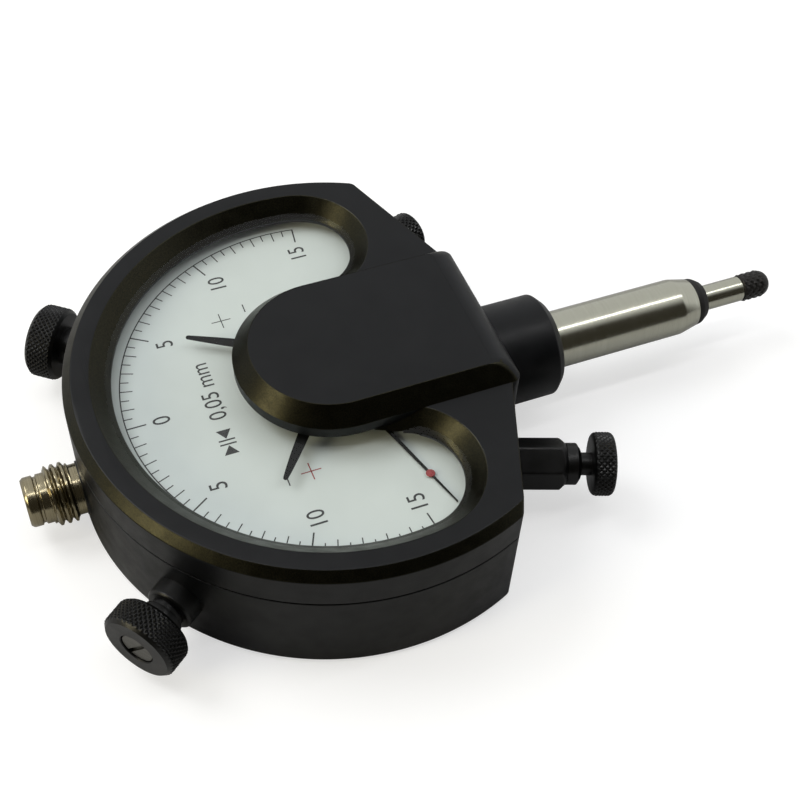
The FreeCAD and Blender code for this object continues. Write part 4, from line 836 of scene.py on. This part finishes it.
def limit_knob(side, word):
    axis = limit_axis(side)
    shape = Shape()
    knurled(shape, axis, start=38.2, end=42.1, radius=LIMIT_KNOB_R, rim=0.55, count=42, depth=0.24,
            hub_r=2.5, front_r=2.3, front_along=41.2)
    rod(shape, axis, 36.75, 38.3, LIMIT_NECK_R, 0.1)
    shape.make(word + "_knob_drum", word + "_knob_group", "black_trim", [trim_black], angle=24,
               replaced=[word + "_limit_knob"])


def limit_bushes():
    shape = Shape()
    profile = [(31.0, 0), (31.0, LIMIT_BUSH_R), (35.7, LIMIT_BUSH_R), (36.0, LIMIT_BUSH_R - 0.3), (36.0, 0)]
    for side in (-1, 1):
        lathe(shape, limit_axis(side), soften(profile, 0.1))
    shape.make("bush_sleeves", "case", "black_trim", [trim_black], replaced=["limit_bushes"])


# Shoulder fittings, with places along their axes from the shoulder's face

LIFTER_X = 15.8
ADJUSTER_X = 24.0
HEX_HALF = 3.0
HEX_END = 6.9
NUT_R = 2.75
PUSH_ROD_R = 1.5
SCREW_BUSH_R = 2.6
SMALL_KNOB_LENGTH = 2.9


def shoulder_axis(side, x, z):
    direction = (side * math.sin(SHOULDER), -math.cos(SHOULDER), 0)
    return Axis((side * x, shoulder_y(x), z), direction)


def small_knob(axis, start, radius, count):
    shape = Shape()
    end = start + SMALL_KNOB_LENGTH
    knurled(shape, axis, start, end, radius, rim=0.75, count=count, depth=0.22, hub_r=1.5, front_r=0.6,
            front_along=end - 0.15, rounded=True)
    return shape


def hexagon(limit):
    """Radius of a hexagon with its corners turned off at limit."""
    def radius(angle):
        part = (angle + math.pi / 6) % (math.pi / 3) - math.pi / 6
        return min(HEX_HALF / math.cos(part), limit)

    return radius


def lifter():
    axis = shoulder_axis(-1, LIFTER_X, KNOB_Z)
    shape = Shape()
    rows = [(-0.2, 3.42), (HEX_END, 3.42)] + [(HEX_END + 0.1 * i, 3.5 - 0.09 * i) for i in range(1, 11)]
    shape.close([shape.loop(axis.ring(along, hexagon(limit), 144)) for along, limit in rows])
    shape.make("hex_standoff", "case", "black_trim", [trim_black], angle=20, replaced=["lifter_standoff"])
    profile = [(7.8, 0), (7.8, NUT_R), (9.2, NUT_R), (9.7, 2.0), (9.7, PUSH_ROD_R + 0.05),
               (9.5, PUSH_ROD_R), (9.5, 0)]
    shape = lathe(Shape(), axis, soften(profile, 0.1))
    shape.make("guide_nut", "case", "black_trim", [trim_black], replaced=["lifter_nut"])
    shape = rod(Shape(), axis, 6.0, 11.3, PUSH_ROD_R, 0.05)
    shape.make("push_rod", "lifter_group", "black_trim", [trim_black], replaced=["lifter_rod"])
    shape = small_knob(axis, 11.15, 4.2, 34)
    shape.make("push_knob", "lifter_group", "black_trim", [trim_black], angle=24, replaced=["lifter_knob"])


def adjuster():
    axis = shoulder_axis(1, ADJUSTER_X, STEM_Z)
    shape = rod(Shape(), axis, -0.4, 3.5, SCREW_BUSH_R, EDGE)
    shape.make("screw_bush", "case", "black_trim", [trim_black], replaced=["adjuster_bush"])
    profile = [(3.3, 0), (3.3, 1.0), (3.8, 1.0), (3.8, 1.6), (4.6, 1.6), (4.6, 0)]
    shape = lathe(Shape(), axis, soften(profile, 0.05))
    shape.make("screw_neck", "adjuster_group", "black_trim", [trim_black], replaced=["adjuster_screw"])
    shape = small_knob(axis, 4.5, 3.2, 26)
    shape.make("turn_knob", "adjuster_group", "black_trim", [trim_black], angle=24,
               replaced=["adjuster_knob"])


# Connector

THREAD_START = 34.9
THREAD_END = 38.1
THREAD_PITCH = 1.0
THREAD_FLANK = 0.3
THREAD_DEPTH = 0.53
THREAD_ROWS = 52
SHELL_R = 3.3
PLUG_R = 3.25
BORE_R = 2.42


def threaded(along):
    """Radius round the thread at a place along it. The thread fades out at both ends."""
    def radius(angle):
        part = (along - THREAD_START - 0.05 - angle / math.tau * THREAD_PITCH) % THREAD_PITCH
        crest = min(1.0, max(0.0, min(part, 0.9 - part) / THREAD_FLANK))
        fade = min(1.0, (along - THREAD_START) / THREAD_FLANK, (THREAD_END - along) / THREAD_FLANK)
        return CONNECTOR_R - THREAD_DEPTH * (1 - crest * max(0.0, fade))

    return radius


def connector():
    axis = Axis((0, 0, CONNECTOR_Z), (0, 1, 0))
    shape = rod(Shape(), axis, WASHER_END - 0.9, WASHER_END, WASHER_R, 0.1)
    shape.make("washer", "case", "black_trim", [trim_black], replaced=["connector_washer"])
    start = WASHER_END - SUNK
    rows = [(start, 2.6), (start, SHELL_R), (THREAD_START - 0.05, SHELL_R)]
    for i in range(THREAD_ROWS + 1):
        along = THREAD_START + (THREAD_END - THREAD_START) * i / THREAD_ROWS
        rows.append((along, threaded(along)))
    rows += soften([(THREAD_END + 0.02, PLUG_R), (39.0, PLUG_R), (39.1, PLUG_R - 0.25), (39.4, PLUG_R - 0.25),
                    (39.5, PLUG_R), (CONNECTOR_END - 0.4, PLUG_R), (CONNECTOR_END, PLUG_R - 0.3),
                    (CONNECTOR_END, BORE_R + 0.08), (CONNECTOR_END - 0.2, BORE_R), (39.0, BORE_R)], 0.08)
    shape = Shape()
    shape.close([shape.loop(axis.ring(along, radius, 96)) for along, radius in rows])
    shape.make("socket_shell", "case", "nickel", [nickel], angle=28, replaced=["connector_shell"])


# Pointer and limit hands

HAND_R = 19.5
HAND_T = 0.2
HAND_TIP_R = 0.3
HAND_STOP_R = 13.2
HAND_STOP_HALF = 0.45
POINTER_R = 25.2
POINTER_REST = -107.1
POINTER_T = 0.18
LEFT_HAND_REST = -52.6
RIGHT_HAND_REST = 34.2
RIGHT_HAND_LINE = 28.5
POINTER_Z = box_low("pointer").z
LEFT_HAND_Z = box_high("left_limit_hand").z - HAND_T
RIGHT_HAND_Z = box_low("right_limit_hand").z


def blade(shape, path, halves, z, thickness, tip_r):
    """Flat blade along a path, with softened upper edges and a round tip. Halves are half widths."""
    points = [Vector(p[:2]) for p in path]
    left = []
    right = []
    for i, here in enumerate(points):
        before = points[max(i - 1, 0)]
        after = points[min(i + 1, len(points) - 1)]
        side = (after - before).normalized().orthogonal() * halves[i]
        left.append(here + side)
        right.append(here - side)
    ahead = (points[-1] - points[-2]).normalized()
    across = ahead.orthogonal()
    centre = points[-1] - ahead * tip_r
    left[-1] = centre + across * halves[-1]
    right[-1] = centre - across * halves[-1]
    turns = [math.radians(degrees) for degrees in range(20, 161, 20)]
    tip = [centre + across * (halves[-1] * math.cos(a)) + ahead * (tip_r * math.sin(a)) for a in turns]
    outline = left + tip + right[::-1]
    middle = sum(outline, Vector((0, 0))) / len(outline)
    bottom = shape.loop([(p.x, p.y, z) for p in outline])
    edge = shape.loop([(p.x, p.y, z + thickness * 0.6) for p in outline])
    inset = [p.lerp(middle, 0.006) for p in outline]
    top = shape.loop([(p.x, p.y, z + thickness) for p in inset])
    shape.skin([bottom, edge, top])
    shape.fill([top])
    shape.fill([bottom])


def disc(shape, x, y, radius, low, high, edge=0.04, steps=48):
    rows = [(low, radius), (high - edge, radius), (high, radius - edge)]
    shape.close([shape.loop(circle_loop(z, x, y, r, steps)) for z, r in rows])


def left_hand():
    """A straight blade with a hub below it, and a square stop that reaches down beside the pointer."""
    shape = Shape()
    path = [compass(LEFT_HAND_REST, (HAND_R - 0.9) * part) for part in (0.04, 0.3, 0.6, 0.8, 0.92, 1.0)]
    blade(shape, path, [0.95, 0.9, 0.74, 0.58, 0.42, 0.3], LEFT_HAND_Z, HAND_T, HAND_TIP_R)
    disc(shape, 0, 0, 2.3, LEFT_HAND_Z - 0.25, LEFT_HAND_Z + HAND_T)
    stop = Vector(compass(LEFT_HAND_REST, HAND_STOP_R)[:2])
    along = Vector(compass(LEFT_HAND_REST, HAND_STOP_HALF)[:2])
    across = along.orthogonal()
    corners = [stop + along + across, stop - along + across, stop - along - across, stop + along - across]
    shape.box([tuple(c) for c in corners], LEFT_HAND_Z - 0.7, LEFT_HAND_Z + 0.05)
    shape.make("left_hand_blade", "left_hand_group", "pointer_black", [hand_black],
               replaced=["left_limit_hand"])


def right_hand():
    """A blade with a knee near its middle."""
    shape = Shape()
    tip = Vector(compass(RIGHT_HAND_REST, HAND_R))
    knee = tip - Vector(compass(RIGHT_HAND_LINE, 0.41 * HAND_R))
    path = [knee * 0.06, knee * 0.5, knee, knee.lerp(tip, 0.5), knee.lerp(tip, 0.8), tip]
    blade(shape, path, [1.0, 0.9, 0.76, 0.56, 0.4, 0.3], RIGHT_HAND_Z, HAND_T, HAND_TIP_R)
    disc(shape, 0, 0, 2.1, RIGHT_HAND_Z, RIGHT_HAND_Z + 0.6)
    shape.make("right_hand_blade", "right_hand_group", "pointer_black", [hand_black],
               replaced=["right_limit_hand"])


def needle():
    """The pointer with its round tail weight, and the mark on it."""
    shape = Shape()
    path = [compass(POINTER_REST, r) for r in (-7.0, -2.0, 2.0, 12.6, 19.0, POINTER_R)]
    blade(shape, path, [0.8, 0.5, 0.45, 0.24, 0.17, 0.09], POINTER_Z, POINTER_T, 0.1)
    disc(shape, 0, 0, 2.4, POINTER_Z, POINTER_Z + 0.55)
    x, y, _ = compass(POINTER_REST, -6.6)
    disc(shape, x, y, 1.3, POINTER_Z, POINTER_Z + 0.3)
    shape.make("needle", "pointer_group", "pointer_black", [hand_black], replaced=["pointer"])
    shape = Shape()
    x, y, _ = compass(POINTER_REST, POINTER_R - 5.2)
    disc(shape, x, y, 0.6, POINTER_Z + POINTER_T, POINTER_Z + POINTER_T + 0.08, 0.05, 10)
    shape.make("needle_mark", "pointer_group", "red_mark", [red_enamel], replaced=["pointer_diamond"])


# Dial printing. Unit is the angle of a tenth of a millimetre, and a capital's height is a share of its
# letter's size. Words and signs are given by their places on the dial, signs also by their widths.

SCALE_R = 27.07
SCALE_LINE = 0.16
UNIT = 6.523
SCALE_END = 15
LETTER_HEIGHT = 2.3
LETTER_SQUEEZE = 0.86
CAPITAL = 0.72
INK_LOW = DIAL_Z - 0.005
INK_HIGH = DIAL_Z + 0.012
WORDS = (("0", 0, 22.6), ("5", 12.0, 18.9), ("5", -12.0, 18.9), ("10", 20.3, 9.3), ("10", -20.3, 9.3),
         ("15", 22.2, -2.8), ("15", -22.2, -2.8), ("0,05 mm", 2.5, 15.8))
BLACK_SIGNS = (((12.2, 10.7), (14.8, 10.7), 0.13), ((13.5, 9.4), (13.5, 12.0), 0.13),
               ((14.0, 7.2), (15.4, 7.2), 0.16), ((-14.9, 10.7), (-13.7, 10.7), 0.16))
RED_SIGNS = (((-15.0, 7.6), (-12.4, 7.6), 0.15), ((-13.7, 6.3), (-13.7, 8.9), 0.15))
ARROWS_X = -6.0
ARROWS_Y = 15.8


def stroke(shape, start, end, width):
    a = Vector(start[:2])
    b = Vector(end[:2])
    side = (b - a).normalized().orthogonal() * (width / 2)
    corners = [a + side, b + side, b - side, a - side]
    shape.box([tuple(c) for c in corners], INK_LOW, INK_HIGH)


def letters(shape, words, x, y):
    """Upright words in the plain built-in face, centred on a point."""
    curve = bpy.data.curves.new("words", "FONT")
    curve.body = words
    curve.size = 1.0
    curve.resolution_u = 5
    curve.fill_mode = "FRONT"
    text = bpy.data.objects.new("words", curve)
    bpy.context.scene.collection.objects.link(text)
    bpy.context.view_layer.update()
    flat = bpy.data.meshes.new_from_object(text.evaluated_get(bpy.context.evaluated_depsgraph_get()))
    xs = [v.co.x for v in flat.vertices]
    middle = (min(xs) + max(xs)) / 2
    grow = LETTER_HEIGHT / CAPITAL
    first = len(shape.points)
    for v in flat.vertices:
        across = (v.co.x - middle) * grow * LETTER_SQUEEZE
        shape.points.append((across + x, (v.co.y - CAPITAL / 2) * grow + y, INK_HIGH))
    for face in flat.polygons:
        shape.faces.append(tuple(first + i for i in face.vertices))
    bpy.data.objects.remove(text)
    bpy.data.curves.remove(curve)
    bpy.data.meshes.remove(flat)


def scale(ink):
    """The scale's arc and its divisions: long at each fifth, middling at each, short between."""
    steps = 240
    reach = SCALE_END * UNIT
    angles = [-reach + 2 * reach * i / steps for i in range(steps + 1)]
    inner_r = SCALE_R - SCALE_LINE
    outline = [compass(a, SCALE_R) for a in angles] + [compass(a, inner_r) for a in reversed(angles)]
    low, high = [ink.loop([(x, y, z) for x, y, _ in outline]) for z in (INK_LOW, INK_HIGH)]
    ink.band(low, high)
    ink.fill([high])
    ink.fill([low])
    for half in range(-2 * SCALE_END, 2 * SCALE_END + 1):
        length = 2.6 if half % 10 == 0 else 1.7 if half % 2 == 0 else 1.2
        width = 0.2 if half % 10 == 0 else 0.15
        angle = half / 2 * UNIT
        stroke(ink, compass(angle, SCALE_R - 0.05), compass(angle, SCALE_R - length), width)


def tolerance_arrows(ink):
    """Two arrows that point at a pair of bars."""
    for side in (-1, 1):
        tip_x = ARROWS_X - side * 0.55
        far_x = ARROWS_X - side * 1.95
        bar_x = ARROWS_X - side * 0.32
        ink.box([(tip_x, ARROWS_Y), (far_x, ARROWS_Y + 0.95), (far_x, ARROWS_Y - 0.95)], INK_LOW, INK_HIGH)
        stroke(ink, (bar_x, ARROWS_Y - 1.05), (bar_x, ARROWS_Y + 1.05), 0.22)


def dial_print():
    ink = Shape()
    scale(ink)
    for words, x, y in WORDS:
        letters(ink, words, x, y)
    tolerance_arrows(ink)
    for start, end, width in BLACK_SIGNS:
        stroke(ink, start, end, width)
    ink.make("dial_print", "case", "dial_white", [print_ink], angle=60)
    red = Shape()
    for start, end, width in RED_SIGNS:
        stroke(red, start, end, width)
    red.make("dial_red_print", "case", "dial_white", [red_ink], angle=60)


case_shell()
bezel()
nose_rim()
bridge()
crystal_disc()
stem_parts()
tip()
limit_knob(-1, "left")
limit_knob(1, "right")
limit_bushes()
lifter()
adjuster()
connector()
left_hand()
right_hand()
needle()
dial_print()


# Room, in metres

FLOOR_HALF = 3.0
FLOOR_CELLS = 24
FLOOR_LIFT = 0.58
WORLD_LEAN = -0.45
WORLD_DARK_X = -0.32
WORLD_BRIGHT_X = -0.02


def floor():
    """Pale paper, a little lighter to the camera than to the object."""
    mesh = bpy.data.meshes.new("floor")
    row = FLOOR_CELLS + 1
    places = [FLOOR_HALF * (2 * i / FLOOR_CELLS - 1) for i in range(row)]
    faces = [(j * row + i, j * row + i + 1, (j + 1) * row + i + 1, (j + 1) * row + i)
             for j in range(FLOOR_CELLS) for i in range(FLOOR_CELLS)]
    mesh.from_pydata([(x, y, 0.0) for y in places for x in places], [], faces)
    ground = bpy.data.objects.new("floor", mesh)
    bpy.context.scene.collection.objects.link(ground)
    finish = Finish("floor_paper", (0.5, 0.5, 0.5, 1), 0.9, 0.0, 0.1)
    finish.mottle(40.0, ((0.51, 0.51, 0.51, 1), (0.49, 0.49, 0.49, 1)))
    glow = finish.nodes.new("ShaderNodeEmission")
    glow.inputs["Color"].default_value = (1, 1, 1, 1)
    path = finish.nodes.new("ShaderNodeLightPath")
    lift = finish.nodes.new("ShaderNodeMath")
    lift.operation = "MULTIPLY"
    lift.inputs[1].default_value = FLOOR_LIFT
    finish.links.new(path.outputs["Is Camera Ray"], lift.inputs[0])
    finish.links.new(lift.outputs[0], glow.inputs["Strength"])
    both = finish.nodes.new("ShaderNodeAddShader")
    finish.links.new(finish.shader.outputs[0], both.inputs[0])
    finish.links.new(glow.outputs[0], both.inputs[1])
    finish.links.new(both.outputs[0], finish.out.inputs["Surface"])
    mesh.materials.append(finish.material)


def softbox(name, place, size, watts, target=(0.0, -0.01, 0.01), colour=(1, 1, 1)):
    lamp = bpy.data.lights.new(name, "AREA")
    lamp.color = colour
    lamp.shape = "RECTANGLE"
    lamp.size, lamp.size_y = size
    lamp.energy = watts
    light = bpy.data.objects.new(name, lamp)
    light.location = place
    light.rotation_euler = (Vector(target) - Vector(place)).to_track_quat("-Z", "Y").to_euler()
    bpy.context.scene.collection.objects.link(light)


def colour_mix(tree, factor, first, second):
    """Blend of two colours, each a value or another output."""
    mix = tree.nodes.new("ShaderNodeMix")
    mix.data_type = "RGBA"
    tree.links.new(factor, mix.inputs["Factor"])
    for slot, colour in ((COLOUR_A, first), (COLOUR_B, second)):
        if isinstance(colour, tuple):
            mix.inputs[slot].default_value = colour
        else:
            tree.links.new(colour, mix.inputs[slot])
    return mix.outputs[COLOUR_OUT]


def sky():
    """White behind the object, and light that comes from +X, with a dark side towards -X."""
    world = bpy.data.worlds.new("studio")
    bpy.context.scene.world = world
    world.use_nodes = True
    tree = world.node_tree
    path = tree.nodes.new("ShaderNodeLightPath").outputs
    parts = tree.nodes.new("ShaderNodeSeparateXYZ")
    tree.links.new(tree.nodes.new("ShaderNodeTexCoord").outputs["Generated"], parts.inputs[0])
    lean = tree.nodes.new("ShaderNodeMath")
    lean.operation = "MULTIPLY_ADD"
    lean.inputs[1].default_value = WORLD_LEAN
    tree.links.new(parts.outputs["Y"], lean.inputs[0])
    tree.links.new(parts.outputs["X"], lean.inputs[2])
    side = tree.nodes.new("ShaderNodeMapRange")
    side.inputs["From Min"].default_value = WORLD_DARK_X
    side.inputs["From Max"].default_value = WORLD_BRIGHT_X
    tree.links.new(lean.outputs[0], side.inputs["Value"])
    light = colour_mix(tree, side.outputs[0], (0.05, 0.046, 0.036, 1), (0.8, 0.81, 0.82, 1))
    clear = greatest(tree, [path["Is Camera Ray"], path["Is Transmission Ray"]])
    seen = colour_mix(tree, clear, light, (1, 1, 1, 1))
    tree.links.new(seen, tree.nodes["Background"].inputs["Color"])


floor()
sky()
softbox("warm", (-0.04, 0.62, 0.30), (0.24, 0.24), 1.5, colour=(1.0, 0.9, 0.62))
softbox("strip", (-0.03, -0.1, 0.6), (0.045, 0.9), 0.9, (-0.03, -0.1, 0.0))
softbox("fill", (0.26, 0.30, 0.54), (0.3, 0.3), 1.6, colour=(0.99, 1.0, 1.0))

bpy.context.scene.view_settings.view_transform = "Standard"
